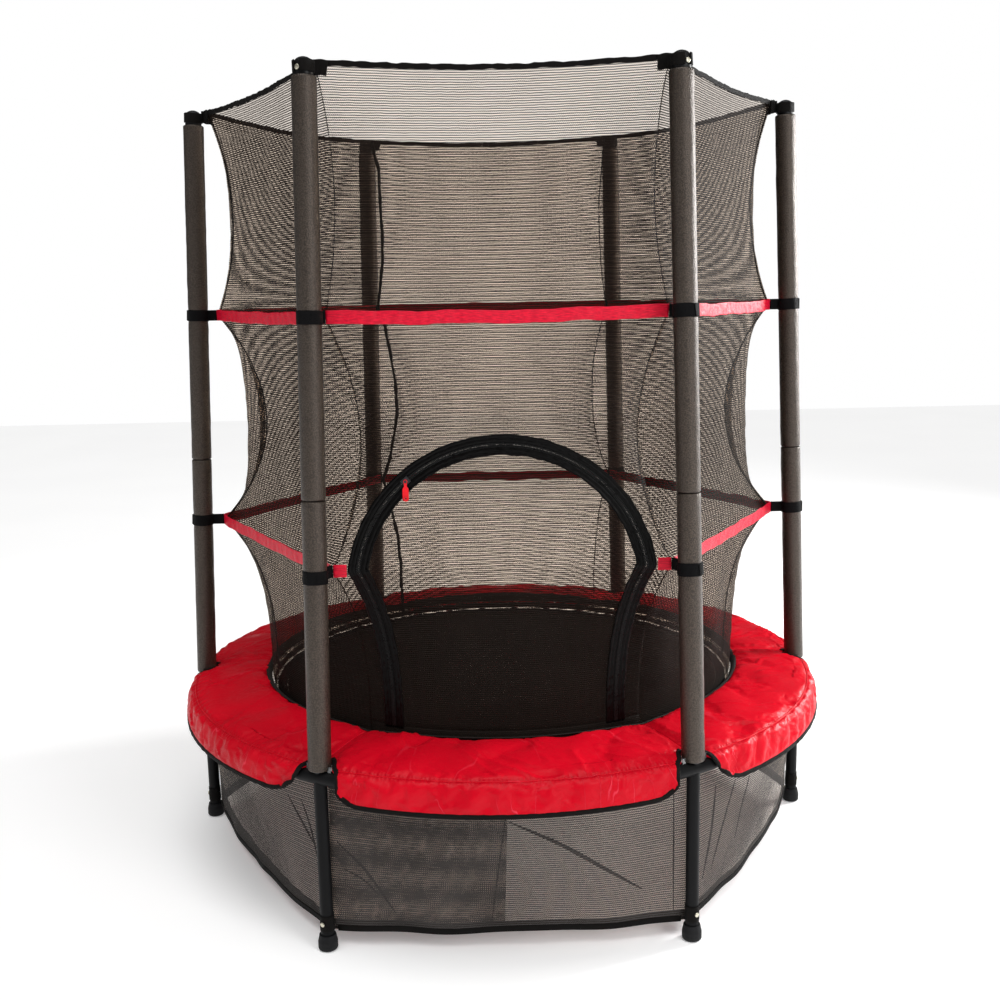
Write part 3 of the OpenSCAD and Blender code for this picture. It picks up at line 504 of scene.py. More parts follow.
# ---- Finishes ----


class Finish:
    """A node material that is put together by short calls."""

    def __init__(self, name, **sockets):
        self.material = bpy.data.materials.new(name)
        self.material.use_nodes = True
        self.nodes = self.material.node_tree.nodes
        self.links = self.material.node_tree.links
        self.shader = self.nodes["Principled BSDF"]
        for socket, value in sockets.items():
            self.shader.inputs[socket.replace("_", " ")].default_value = value

    def node(self, kind, inputs=None, **settings):
        """A node with its settings; an input is a value or another node's socket."""
        node = self.nodes.new(kind)
        for key, value in settings.items():
            setattr(node, key, value)
        for key, value in (inputs or {}).items():
            if isinstance(value, bpy.types.NodeSocket):
                self.links.new(value, node.inputs[key])
            else:
                node.inputs[key].default_value = value
        return node

    def place(self, stretch=(1, 1, 1), fabric=False, turn=0.0):
        """Coordinates in metres, of the piece or of its flat fabric."""
        if fabric:
            source = self.node("ShaderNodeUVMap", uv_map="fabric").outputs[0]
        else:
            source = self.node("ShaderNodeTexCoord").outputs["Object"]
        return self.node(
            "ShaderNodeMapping", {"Vector": source, "Scale": stretch, "Rotation": (0, 0, turn)}
        ).outputs[0]

    def noise(self, place, scale, detail=3.0, rough=0.5, **settings):
        """Noise, 0 to 1."""
        inputs = {"Vector": place, "Scale": scale, "Detail": detail, "Roughness": rough}
        return self.node("ShaderNodeTexNoise", inputs, **settings).outputs[0]

    def cells(self, place, scale, feature="F1", spread=1.0):
        """Distance within cells."""
        inputs = {"Vector": place, "Scale": scale, "Randomness": spread}
        return self.node("ShaderNodeTexVoronoi", inputs, feature=feature).outputs["Distance"]

    def wave(self, place, scale, direction="X", distort=0.0, detail=1.0):
        """Even waves, 0 to 1."""
        inputs = {"Vector": place, "Scale": scale, "Distortion": distort, "Detail": detail}
        return self.node("ShaderNodeTexWave", inputs, bands_direction=direction).outputs["Fac"]

    def math(self, operation, a, b=0.0, c=0.0):
        """One maths operation on up to three numbers or sockets."""
        return self.node("ShaderNodeMath", {0: a, 1: b, 2: c}, operation=operation).outputs[0]

    def span(self, value, low, high, to_low=0.0, to_high=1.0):
        """A value taken smoothly from one span to another."""
        inputs = {
            "Value": value, "From Min": low, "From Max": high, "To Min": to_low, "To Max": to_high
        }
        return self.node("ShaderNodeMapRange", inputs, interpolation_type="SMOOTHSTEP").outputs[0]

    def split(self, place):
        """The three parts of coordinates."""
        return self.node("ShaderNodeSeparateXYZ", {0: place}).outputs

    def mix(self, share, a, b, blend="MIX"):
        """Two colours mixed."""
        node = self.node("ShaderNodeMix", {0: share}, data_type="RGBA", blend_type=blend)
        for index, value in ((6, a), (7, b)):
            if isinstance(value, bpy.types.NodeSocket):
                self.links.new(value, node.inputs[index])
            else:
                node.inputs[index].default_value = value
        return node.outputs[2]

    def bump(self, height, depth, strength=1.0, under=None):
        """A bump of that depth in metres, over another bump."""
        inputs = {"Height": height, "Distance": depth, "Strength": strength}
        if under is not None:
            inputs["Normal"] = under
        return self.node("ShaderNodeBump", inputs).outputs[0]

    def set(self, **sockets):
        """Links the shader's sockets and gives back the material."""
        for socket, value in sockets.items():
            self.links.new(value, self.shader.inputs[socket.replace("_", " ")])
        return self.material


def shade(colour, factor):
    """A colour made darker or lighter, with full alpha."""
    return tuple(min(1.0, c * factor) for c in tuple(colour)[:3]) + (1.0,)


def coated_steel(name, colour, roughness):
    """Powder-coated tube: fine orange peel, dust and small scuffs."""
    f = Finish(name, Specular_IOR_Level=0.12)
    place = f.place()
    dust = f.noise(place, 14, 5, 0.6)
    peel = f.noise(place, 900, 2)
    scuff = f.span(f.noise(f.place((1, 1, 0.25)), 160, 4, 0.7), 0.62, 0.72)
    base = f.mix(f.span(dust, 0.35, 0.8), shade(colour, 0.8), shade(colour, 1.7))
    base = f.mix(f.math("MULTIPLY", scuff, 0.35), base, shade(colour, 4.0))
    rough = f.span(dust, 0.3, 0.7, roughness - 0.08, roughness + 0.12)
    return f.set(Base_Color=base, Roughness=rough, Normal=f.bump(peel, 0.00025, 0.5))


def foam_finish(name, colour):
    """Expanded foam: closed cells a few millimetres across, pits between them and a light skin; the
    cell crowns are painted light as glints, their rims and the pits painted dark as shade.
    """
    f = Finish(name, Specular_IOR_Level=0.8, Specular_Tint=(1.0, 0.86, 0.76, 1.0))
    place = f.place()
    cells = f.cells(place, 500, "SMOOTH_F1", 0.95)
    fine = f.cells(place, 900)
    cloud = f.noise(place, 30, 4, 0.6)
    shaded_pits = f.span(f.noise(place, 640, 2, 0.6), 0.54, 0.66)
    # Painted glints and shade: each cell is lighter at its crown and darker at its rim.
    base = f.mix(f.span(cells, 0.15, 0.6), shade(colour, 3.4), shade(colour, 0.3))
    base = f.mix(f.span(cloud, 0.3, 0.75, 0.0, 0.35), base, shade(colour, 1.25))
    # Painted shade: the pits are darker.
    base = f.mix(f.math("MULTIPLY", shaded_pits, 0.7), base, shade(colour, 0.35))
    height = f.math("MULTIPLY_ADD", cells, -1.0, f.math("MULTIPLY", fine, -0.25))
    normal = f.bump(height, 0.0009, 0.75, f.bump(shaded_pits, 0.0004, 0.5))
    return f.set(Base_Color=base, Roughness=f.span(cells, 0.1, 0.8, 0.32, 0.5), Normal=normal)


def cover_finish(name, colour, crinkle, piping_at):
    """Coated nylon: a plain weave, fine creases painted bright as highlights, and puckers beside the
    piping, painted darker there as shade.
    """
    f = Finish(name, Specular_IOR_Level=0.11, Coat_Weight=0.02, Coat_Roughness=0.2)
    place = f.place()
    fade = f.noise(place, 7, 3)
    warp = f.wave(f.place(fabric=True), 520, "X")
    weft = f.wave(f.place(fabric=True), 520, "Y")
    small = f.noise(place, 95, 3, 0.6)
    girth = f.split(f.place(fabric=True))[1]
    offset = f.math("SUBTRACT", girth, piping_at)
    beside = f.span(f.math("ABSOLUTE", offset), 0.002, 0.011, 1.0, 0.0)
    drop = f.span(offset, 0.0, 0.006)
    pucker = f.math(
        "MULTIPLY", f.wave(f.place((1, 0.4, 1), fabric=True, turn=0.3), 40, "X", 3.0, 2.0), beside
    )
    threads = []
    for stretch, turn, scale, width in (
        ((1, 0.2, 1), 0.2, 21, 0.007), ((1, 0.22, 1), -0.5, 9, 0.006)
    ):
        bend = f.noise(f.place(stretch, fabric=True, turn=turn), scale, 1.6, 0.5)
        from_line = f.math("ABSOLUTE", f.math("SUBTRACT", bend, 0.5))
        threads.append(f.span(from_line, 0.0, width, 1.0, 0.0))
    patchy = f.span(f.noise(place, 16, 2), 0.42, 0.6)
    creases = f.math("MULTIPLY", f.math("MULTIPLY", threads[0], drop), patchy)
    folds = f.math(
        "MULTIPLY", f.math("MULTIPLY", threads[1], f.math("SUBTRACT", 1.0, drop)), patchy
    )
    crease_relief_and_highlight = f.math("ADD", creases, f.math("MULTIPLY", folds, 0.35))
    base = f.mix(f.span(fade, 0.3, 0.75), shade(colour, 0.92), shade(colour, 1.06))
    # Painted highlight: the creases are mixed towards a pale red.
    base = f.mix(f.math("MULTIPLY", crease_relief_and_highlight, 0.55), base, (0.98, 0.07, 0.12, 1.0))
    # Painted shade: darker beside the piping, where the cover puckers.
    base = f.mix(f.math("MULTIPLY", beside, 0.3), base, shade(colour, 0.6))
    normal = f.bump(f.math("MULTIPLY", warp, weft), 0.00012, 0.4)
    normal = f.bump(small, crinkle, 0.18, normal)
    normal = f.bump(pucker, 0.0012, 0.5, normal)
    normal = f.bump(crease_relief_and_highlight, 0.0016, 0.6, normal)
    return f.set(Base_Color=base, Roughness=f.span(small, 0.3, 0.7, 0.3, 0.44), Normal=normal)


def net_finish(name, colour, haze, course, stitch, cover):
    """Knitted net: wavy courses and short cross threads, their middles painted lighter as a
    highlight; fuzz tints what shows through.
    """
    f = Finish(name, Roughness=0.75, Specular_IOR_Level=0.1)
    flat = f.place(fabric=True)
    x, y, _ = f.split(flat)
    wobble = f.noise(flat, 60, 2)
    zig = f.math("PINGPONG", f.math("DIVIDE", x, stitch), 0.5)
    rise = f.math("MULTIPLY_ADD", zig, 0.55, f.math("MULTIPLY", wobble, 0.5))
    row = f.math("ADD", f.math("DIVIDE", y, course), rise)
    line = f.math("MULTIPLY", f.math("PINGPONG", row, 0.5), 2.0)
    shift = f.math("MULTIPLY", f.math("FLOOR", f.math("ADD", row, 0.5)), 0.5)
    step = f.math("ADD", f.math("DIVIDE", x, stitch * 1.02), shift)
    cross = f.math("MULTIPLY", f.math("PINGPONG", step, 0.5), 2.0)
    courses = f.span(line, cover - 0.07, cover + 0.07, 1.0, 0.0)
    threads = f.span(cross, 0.5 * cover - 0.06, 0.5 * cover + 0.06, 1.0, 0.0)
    alpha = f.math("MAXIMUM", courses, threads)
    cloud = f.noise(f.place(), 9, 3)
    base = f.mix(f.span(cloud, 0.3, 0.7), shade(colour, 0.8), shade(colour, 1.2))
    # Painted highlight: the middle of each course is lighter.
    base = f.mix(f.span(line, 0.0, cover, 0.45, 0.0), base, shade(colour, 1.6))
    f.set(Base_Color=base, Normal=f.bump(alpha, 0.0006, 0.6))
    opening = f.node("ShaderNodeBsdfTransparent", {"Color": shade(haze, 1)})
    yarn = f.node("ShaderNodeMixShader", {0: alpha, 1: opening.outputs[0], 2: f.shader.outputs[0]})
    f.links.new(yarn.outputs[0], f.nodes["Material Output"].inputs["Surface"])
    return f.material


def webbing_finish(name, colour, ribs, sheen):
    """Woven tape: ribs along its length, painted lighter on their crests and darker between them as
    light and shade, a fine cross weave and lint.
    """
    f = Finish(name, Specular_IOR_Level=0.08, Sheen_Weight=sheen, Sheen_Roughness=0.3)
    flat = f.place(fabric=True)
    rib_relief_and_light = f.wave(flat, ribs, "X")
    weft = f.wave(flat, 2.3 * ribs, "Y", 1.0)
    lint = f.noise(f.place(), 230, 4, 0.7)
    # Painted light and shade: the rib crests are lighter, the grooves darker.
    base = f.mix(rib_relief_and_light, shade(colour, 0.6), shade(colour, 1.4))
    base = f.mix(f.span(lint, 0.55, 0.75, 0.0, 0.3), base, shade(colour, 2.6))
    normal = f.bump(f.math("MULTIPLY", rib_relief_and_light, weft), 0.0005, 0.7, f.bump(lint, 0.0006, 0.4))
    return f.set(Base_Color=base, Roughness=f.span(rib_relief_and_light, 0, 1, 0.72, 0.55), Normal=normal)


def satin_finish(name, colour, gloss, shine):
    """Satin ribbon: long floats that shine in streaks, the shine painted into the colour as lighter
    streaks, with small puckers.
    """
    f = Finish(name, Specular_IOR_Level=shine, Anisotropic=0.4)
    flat = f.place(fabric=True)
    sheen_streak = f.noise(f.place((60, 8, 1), fabric=True), 9, 3, 0.6)
    pucker = f.noise(f.place(), 70, 4, 0.55)
    thread = f.wave(flat, 800, "X")
    # Painted sheen: lighter streaks in the colour.
    base = f.mix(f.span(sheen_streak, 0.3, 0.7), shade(colour, 0.8), shade(colour, 1.25))
    normal = f.bump(thread, 0.0001, 0.4)
    normal = f.bump(pucker, 0.0028, 0.55, normal)
    return f.set(
        Base_Color=base, Roughness=f.span(sheen_streak, 0.3, 0.7, gloss, gloss + 0.16), Normal=normal
    )


def mat_finish(name, colour):
    """Woven polypropylene strips, two millimetres wide, with a dull shine and dust from shoes."""
    f = Finish(name, Specular_IOR_Level=0.16)
    x, y, _ = f.split(f.place((480, 480, 480)))
    over = f.math("PINGPONG", f.math("ADD", f.math("FLOOR", x), f.math("FLOOR", y)), 1.0)
    ridge_x = f.math("SUBTRACT", 1.0, f.math("MULTIPLY", f.math("PINGPONG", x, 0.5), 1.6))
    ridge_y = f.math("SUBTRACT", 1.0, f.math("MULTIPLY", f.math("PINGPONG", y, 0.5), 1.6))
    height = f.node("ShaderNodeMix", {0: over, 2: ridge_x, 3: ridge_y}).outputs[0]
    dust = f.noise(f.place(), 6, 6, 0.65)
    strips = f.noise(f.place((480, 6, 1)), 1, 2)
    base = f.mix(f.span(strips, 0.3, 0.7), shade(colour, 0.75), shade(colour, 1.3))
    base = f.mix(f.span(dust, 0.5, 0.85, 0.0, 0.35), base, shade(colour, 3.2))
    rough = f.span(dust, 0.35, 0.75, 0.42, 0.66)
    return f.set(Base_Color=base, Roughness=rough, Normal=f.bump(height, 0.0004, 0.6))


def zinc_finish(name, colour):
    """Zinc plate: faint spangle, fine scratches and dull patches."""
    f = Finish(name, Metallic=1.0)
    place = f.place()
    spangle = f.cells(place, 420)
    scratch = f.noise(f.place((1, 1, 22)), 240, 3)
    dull = f.noise(place, 60, 4, 0.6)
    base = f.mix(f.span(spangle, 0.0, 0.8), shade(colour, 1.1), shade(colour, 0.75))
    base = f.mix(f.span(dull, 0.55, 0.8, 0.0, 0.5), base, shade(colour, 0.4))
    return f.set(
        Base_Color=base, Roughness=f.span(dull, 0.3, 0.7, 0.24, 0.5),
        Normal=f.bump(scratch, 0.0001, 0.3)
    )


def moulded_finish(name, colour, roughness, grain):
    """Moulded plastic or rubber: a fine spark-eroded grain with painted glints on its peaks, flow
    marks and handling shine.
    """
    f = Finish(name, Specular_IOR_Level=0.2)
    place = f.place()
    grain_and_glints = f.noise(place, grain, 3, 0.6)
    flow = f.noise(f.place((1, 1, 3)), 22, 3)
    base = f.mix(f.span(flow, 0.3, 0.75), shade(colour, 0.8), shade(colour, 1.35))
    # Painted glints: the peaks of the grain are lighter.
    base = f.mix(f.span(grain_and_glints, 0.6, 0.8, 0.0, 0.25), base, shade(colour, 2.2))
    rough = f.span(flow, 0.3, 0.7, roughness - 0.06, roughness + 0.1)
    return f.set(Base_Color=base, Roughness=rough, Normal=f.bump(grain_and_glints, 0.0003, 0.5))


def floor_finish(name, colour):
    """Pale studio floor: faint mottling and a soft sheen."""
    f = Finish(name, Specular_IOR_Level=0.2, Emission_Color=(1, 1, 1, 1), Emission_Strength=0.2)
    cloud = f.noise(f.place(), 1.4, 3)
    grain = f.noise(f.place(), 260, 2)
    base = f.mix(f.span(cloud, 0.3, 0.7), shade(colour, 0.99), shade(colour, 1.0))
    return f.set(
        Base_Color=base, Roughness=f.span(cloud, 0.3, 0.7, 0.8, 0.9),
        Normal=f.bump(grain, 0.0003, 0.1)
    )


_finishes = {}


def finish(name):
    """The named finish, made on its first use."""
    if name in _finishes:
        return _finishes[name]
    look, sizes = bpy.context.scene.trampoline_look, bpy.context.scene.trampoline_sizes
    makers = {
        "frame_black": lambda n: coated_steel(n, look.frame_black, 0.42),
        "pole_grey": lambda n: coated_steel(n, look.pole_grey, 0.36),
        "foam_grey": lambda n: foam_finish(n, look.foam_grey),
        "pad_red": lambda n: cover_finish(n, look.pad_red, sizes.crinkle, piping_girth() * MM),
        "strap_red": lambda n: satin_finish(n, look.strap_red, 0.34, 0.3),
        "tape_black": lambda n: satin_finish(n, look.tape_black, 0.2, 0.07),
        "net_black": lambda n: net_finish(
            n, look.net_yarn, look.haze, sizes.course, sizes.stitch, sizes.net_cover
        ),
        "skirt_black": lambda n: net_finish(
            n, look.skirt_yarn, look.haze, sizes.course * 1.073, sizes.stitch, sizes.skirt_cover
        ),
        # Painted light: a lighter copy of the black binding, as if lit, for the pad's inner edge.
        "binding_painted_lit": lambda n: webbing_finish(n, shade(look.binding_black, 3.5), 330, 0.02),
        "net_doubled": lambda n: net_finish(
            n, look.net_yarn, look.haze, sizes.course, sizes.stitch, 0.78
        ),
        "webbing_black": lambda n: webbing_finish(n, look.webbing_black, 210, 0.006),
        "binding_black": lambda n: webbing_finish(n, look.binding_black, 330, 0.01),
        "mat_black": lambda n: mat_finish(n, look.mat_black),
        "zinc": lambda n: zinc_finish(n, look.zinc),
        "clip_zinc": lambda n: zinc_finish(n, shade(look.zinc, 0.3)),
        "brass_zinc": lambda n: zinc_finish(n, look.screw_zinc),
        "cap_black": lambda n: moulded_finish(n, look.cap_black, 0.42, 700),
        "foot_rubber": lambda n: moulded_finish(n, look.foot_rubber, 0.62, 420),
        "zip_nylon": lambda n: moulded_finish(n, look.zip_nylon, 0.3, 900),
        "slider_dark": lambda n: coated_steel(n, look.slider_dark, 0.3),
        "pull_red": lambda n: moulded_finish(n, look.pull_red, 0.34, 800),
        "floor_pale": lambda n: floor_finish(n, look.floor_pale),
    }
    _finishes[name] = makers[name](name)
    return _finishes[name]


# ---- Sizes and colours that a user would change ----


def length(name, description, default, low, high):
    """A length in metres."""
    return FloatProperty(
        name=name, description=description, default=default, min=low, max=high, unit="LENGTH",
        precision=4
    )


def colour(name, description, *default):
    """A colour in linear light."""
    return FloatVectorProperty(
        name=name, description=description, default=default, min=0.0, max=1.0, size=3,
        subtype="COLOR"
    )


class TrampolineSizes(bpy.types.PropertyGroup):
    """Sizes of the fabric's detail and of the small parts."""

    course: length("Course", "Height of one course of the net", 0.004, 0.002, 0.01)
    stitch: length("Stitch", "Width of one stitch of the net", 0.0034, 0.002, 0.01)
    crinkle: length("Crinkle", "Depth of the fine creases in the pad's cover", 0.004, 0.0, 0.01)
    seam_cord: length(
        "Seam cord", "Thickness of the cord in the net's corner seams", 0.0034, 0.001, 0.006
    )
    spring_wire: length("Spring wire", "Thickness of the springs' wire", 0.0021, 0.001, 0.004)
    tooth_pitch: length(
        "Tooth pitch", "Distance between two teeth of the zip", 0.0027, 0.0015, 0.006
    )
    crease_height: length("Creases", "Height of the creases in the pad's cover", 0.002, 0.0, 0.004)
    cover_slack: FloatProperty(
        name="Cover slack", description="Spare fabric of the pad's cover", default=0.035, min=0.0,
        max=0.1
    )
    net_cover: FloatProperty(
        name="Net cover", description="Share of a course that is yarn", default=0.335, min=0.1,
        max=0.9
    )
    skirt_cover: FloatProperty(
        name="Skirt cover", description="Share of a course of the skirt that is yarn", default=0.4,
        min=0.1, max=0.9
    )
    spring_turns: IntProperty(
        name="Spring turns", description="Turns of one spring", default=40, min=10, max=60
    )


class TrampolineLook(bpy.types.PropertyGroup):
    """Colours of the finishes."""

    frame_black: colour("Frame", "Powder coat of legs and rails", 0.0045, 0.0045, 0.005)
    pole_grey: colour("Poles", "Finish of the pole tubes", 0.03, 0.03, 0.032)
    foam_grey: colour("Foam", "Foam sleeves", 0.018, 0.0132, 0.0098)
    pad_red: colour("Pad", "Cover of the safety pad", 0.64, 0.002, 0.014)
    strap_red: colour("Straps", "Ribbons round the net", 0.72, 0.003, 0.03)
    tape_black: colour("Zip tape", "Satin tape of the zip", 0.003, 0.0028, 0.0027)
    net_yarn: colour("Net", "Yarn of the enclosure net", 0.014, 0.0095, 0.0075)
    skirt_yarn: colour("Skirt", "Yarn of the skirt net", 0.068, 0.062, 0.06)
    haze: colour("Haze", "Tint that fine fuzz gives to what shows through a net", 1.0, 0.955, 0.91)
    webbing_black: colour("Webbing", "Elastic loops and tabs", 0.0045, 0.0045, 0.005)
    binding_black: colour("Binding", "Binding tape of pad, rim and hems", 0.0075, 0.0065, 0.006)
    mat_black: colour("Mat", "Woven jumping mat", 0.007, 0.0062, 0.0058)
    zinc: colour("Zinc", "Springs and rings", 0.72, 0.73, 0.74)
    screw_zinc: colour("Screws", "Screw heads", 0.78, 0.74, 0.6)
    cap_black: colour("Caps", "Pole caps", 0.006, 0.006, 0.0065)
    foot_rubber: colour("Feet", "Rubber feet", 0.008, 0.008, 0.009)
    zip_nylon: colour("Zip teeth", "Nylon teeth of the zip", 0.009, 0.009, 0.009)
    slider_dark: colour("Slider", "Zip slider", 0.03, 0.03, 0.032)
    pull_red: colour("Pull", "Zip pull", 0.75, 0.012, 0.02)
    floor_pale: colour("Floor", "Studio floor", 0.97, 0.97, 0.97)


# ---- Operators ----


CAMERA_PLACE = (-0.0287, -2.6008, 1.2028)
CAMERA_YAW, CAMERA_PITCH, CAMERA_ROLL = 0.0128, 0.1758, -0.02
CAMERA_FOCUS_PX = 1164.46
FRAME_PX = 1000.0
SENSOR_MM = 36.0


def area_light(name, place, target, size, power):
    """A square soft light that faces a point."""
    data = bpy.data.lights.new(name, "AREA")
    data.size, data.energy = size, power
    lamp = bpy.data.objects.new(name, data)
    lamp.location = place
    lamp.rotation_euler = (Vector(target) - Vector(place)).to_track_quat("-Z", "Y").to_euler()
    bpy.context.scene.collection.objects.link(lamp)


class TRAMPOLINE_OT_stage(bpy.types.Operator):
    """Camera, soft studio light, white backdrop and pale floor"""

    bl_idname = "trampoline.stage"
    bl_label = "Stage"

    def execute(self, context):
        data = bpy.data.cameras.new("view")
        data.sensor_width = SENSOR_MM
        data.lens = CAMERA_FOCUS_PX / FRAME_PX * SENSOR_MM
        data.clip_end = 60
        camera = bpy.data.objects.new("view", data)
        context.scene.collection.objects.link(camera)
        yaw, pitch, roll = CAMERA_YAW, CAMERA_PITCH, CAMERA_ROLL
        right = Vector((math.cos(yaw), -math.sin(yaw), 0))
        ahead = Vector(
            (math.sin(yaw) * math.cos(pitch), math.cos(yaw) * math.cos(pitch), -math.sin(pitch))
        )
        up = right.cross(ahead)
        x = math.cos(roll) * right + math.sin(roll) * up
        y = math.cos(roll) * up - math.sin(roll) * right
        axes = Matrix((x, y, -ahead)).transposed().to_4x4()
        camera.matrix_world = Matrix.Translation(CAMERA_PLACE) @ axes
        context.scene.camera = camera

        context.scene.view_settings.view_transform = "Standard"
        area_light("key", (2.7, -3.4, 2.3), (0, 0, 0.7), 1.6, 66)
        area_light("side", (3.6, 1.2, 1.7), (0, 0, 0.85), 1.0, 175)
        area_light("fill", (-3.7, -1.9, 1.7), (0, 0, 0.7), 1.6, 6)
        sky = bpy.data.lights.new("sky", "SUN")
        sky.energy, sky.angle = 2.1, 0.9
        lamp = bpy.data.objects.new("sky", sky)
        lamp.rotation_euler = Vector((0.05, 0.42, -1.6)).to_track_quat("-Z", "Y").to_euler()
        context.scene.collection.objects.link(lamp)

        world = bpy.data.worlds.new("white_room")
        context.scene.world = world
        world.use_nodes = True
        nodes, links = world.node_tree.nodes, world.node_tree.links
        backdrop = nodes["Background"]
        backdrop.inputs["Color"].default_value = (1, 1, 1, 1)
        room = nodes.new("ShaderNodeBackground")
        room.inputs["Color"].default_value = (1.0, 0.99, 0.98, 1)
        room.inputs["Strength"].default_value = 0.1
        choice = nodes.new("ShaderNodeMixShader")
        links.new(nodes.new("ShaderNodeLightPath").outputs["Is Camera Ray"], choice.inputs[0])
        links.new(room.outputs[0], choice.inputs[1])
        links.new(backdrop.outputs[0], choice.inputs[2])
        links.new(choice.outputs[0], nodes["World Output"].inputs["Surface"])

        reach = 9000.0
        ticks = np.linspace(-reach, reach, 13)
        x, y = np.meshgrid(ticks, ticks)
        rows = np.stack([x, y, 0 * x], axis=-1)
        floor = add_piece("studio_floor", grid_shell(rows), finish("floor_pale"), None)
        floor.location.z = -0.0004
        return {"FINISHED"}


CAD_FINISHES = {
    "frame_black": [
        *(f"{kind}_{c}" for kind in ("leg", "tee") for c in CORNERS),
        *(f"rail_{k + 1}" for k in range(SIDES)),
    ],
    "pole_grey": ["lower_poles", "upper_poles"],
    "foot_rubber": ["rubber_feet"],
    "cap_black": ["pole_caps"],
    "brass_zinc": ["screws"],
    "zinc": ["v_rings"],
    "slider_dark": ["zip_slider"],
    "pull_red": ["zip_pull"],
}


class TRAMPOLINE_OT_hard_parts(bpy.types.Operator):
    """Finishes on the tubes, tees, feet, caps, screws, rings, slider and pull"""

    bl_idname = "trampoline.hard_parts"
    bl_label = "Hard parts"

    def execute(self, context):
        for name, nodes in CAD_FINISHES.items():
            for node in nodes:
                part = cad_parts[node]
                for slot in part.material_slots:
                    slot.material = finish(name)
        return {"FINISHED"}


def tube_rows(corner, profile, steps, uneven=0.0, seed=0):
    """A closed profile of (radius, s) turned about a pole."""
    profile = np.asarray(profile, float)
    a = np.linspace(0, math.tau, steps, endpoint=False)[:, None]
    r, s = profile[None, :, 0], profile[None, :, 1]
    if uneven:
        broad = swell(s, 60 * np.cos(a), 90, seed)
        r = r + uneven * (r > POLE_R + 2) * broad * swell(a * 20, s, 60, seed + 1)
    return on_pole(corner, r * np.cos(a), r * np.sin(a), s + 0 * a)


def loop_s(z):
    """Place of a pole loop along its pole."""
    return (z - RAIL_Z) / math.cos(POLE_LEAN)


LOOP_SINK = 1.0
SLEEVE_ROUND = 3.2


class TRAMPOLINE_OT_foam(bpy.types.Operator):
    """Twelve foam sleeves with rounded ends, pressed in under the elastic loops"""

    bl_idname = "trampoline.foam"
    bl_label = "Foam sleeves"

    def execute(self, context):
        parts = (
            ("low", FOAM_LOW_S + 0.4, POLE_JOINT_S - 0.6),
            ("up", POLE_JOINT_S + 0.6, FOAM_TOP_S - 0.4)
        )
        for corner, c in enumerate(CORNERS):
            for part, s0, s1 in parts:
                bend = SLEEVE_ROUND * (1 - np.cos(np.linspace(0, math.pi / 2, 5)))
                unbend = SLEEVE_ROUND * (1 - np.cos(np.linspace(math.pi / 2, 0, 5)))
                s = np.concatenate([s0 + bend, np.arange(s0 + 10, s1 - 8, 12.0), s1 - unbend])
                edge = np.minimum(s - s0, s1 - s)
                past = 1 - np.clip(edge / SLEEVE_ROUND, 0, 1)
                r = FOAM_R - SLEEVE_ROUND + SLEEVE_ROUND * np.sqrt(1 - past**2)
                for z in (LOWER_STRAP_Z, UPPER_STRAP_Z):
                    r = r - LOOP_SINK * np.exp(-(np.abs(s - loop_s(z)) / 15) ** 4)
                bore = POLE_R + 0.35
                profile = list(zip(r, s)) + [(bore + 2, s1), (bore, s1 - 1)]
                profile += [(bore, (s0 + s1) / 2), (bore, s0 + 1), (bore + 2, s0)]
                rows = tube_rows(corner, profile, 40, 0.35, 10 * corner + len(part))
                name = f"foam_{part}_{c}"
                shell = grid_shell(rows, wrap=True, wrap_rows=True, flip=True)
                sleeve = add_piece(
                    f"foam_sleeve_{part}_{c}", shell, finish("foam_grey"), "frame", [name]
                )
            clips = []
            for way in (-1, 1):
                line = on_pole(corner, 3.0, way * (FOAM_R + 2.5), np.linspace(12.4, 24.0, 8))
                facing = heading(corner_angle(corner))
                clips.append(sweep_shell(line, facing, band_section(8, 1.2, 3)))
            add_piece(f"pole_clips_{c}", clips, finish("clip_zinc"), "frame")
        return {"FINISHED"}


def disc_grid(radius, steps):
    """A square grid of points laid over a disc."""
    t = np.linspace(-1, 1, steps)
    a, b = np.meshgrid(t, t)
    return radius * a * np.sqrt(1 - b * b / 2), radius * b * np.sqrt(1 - a * a / 2)


BAND_POINTS = 360


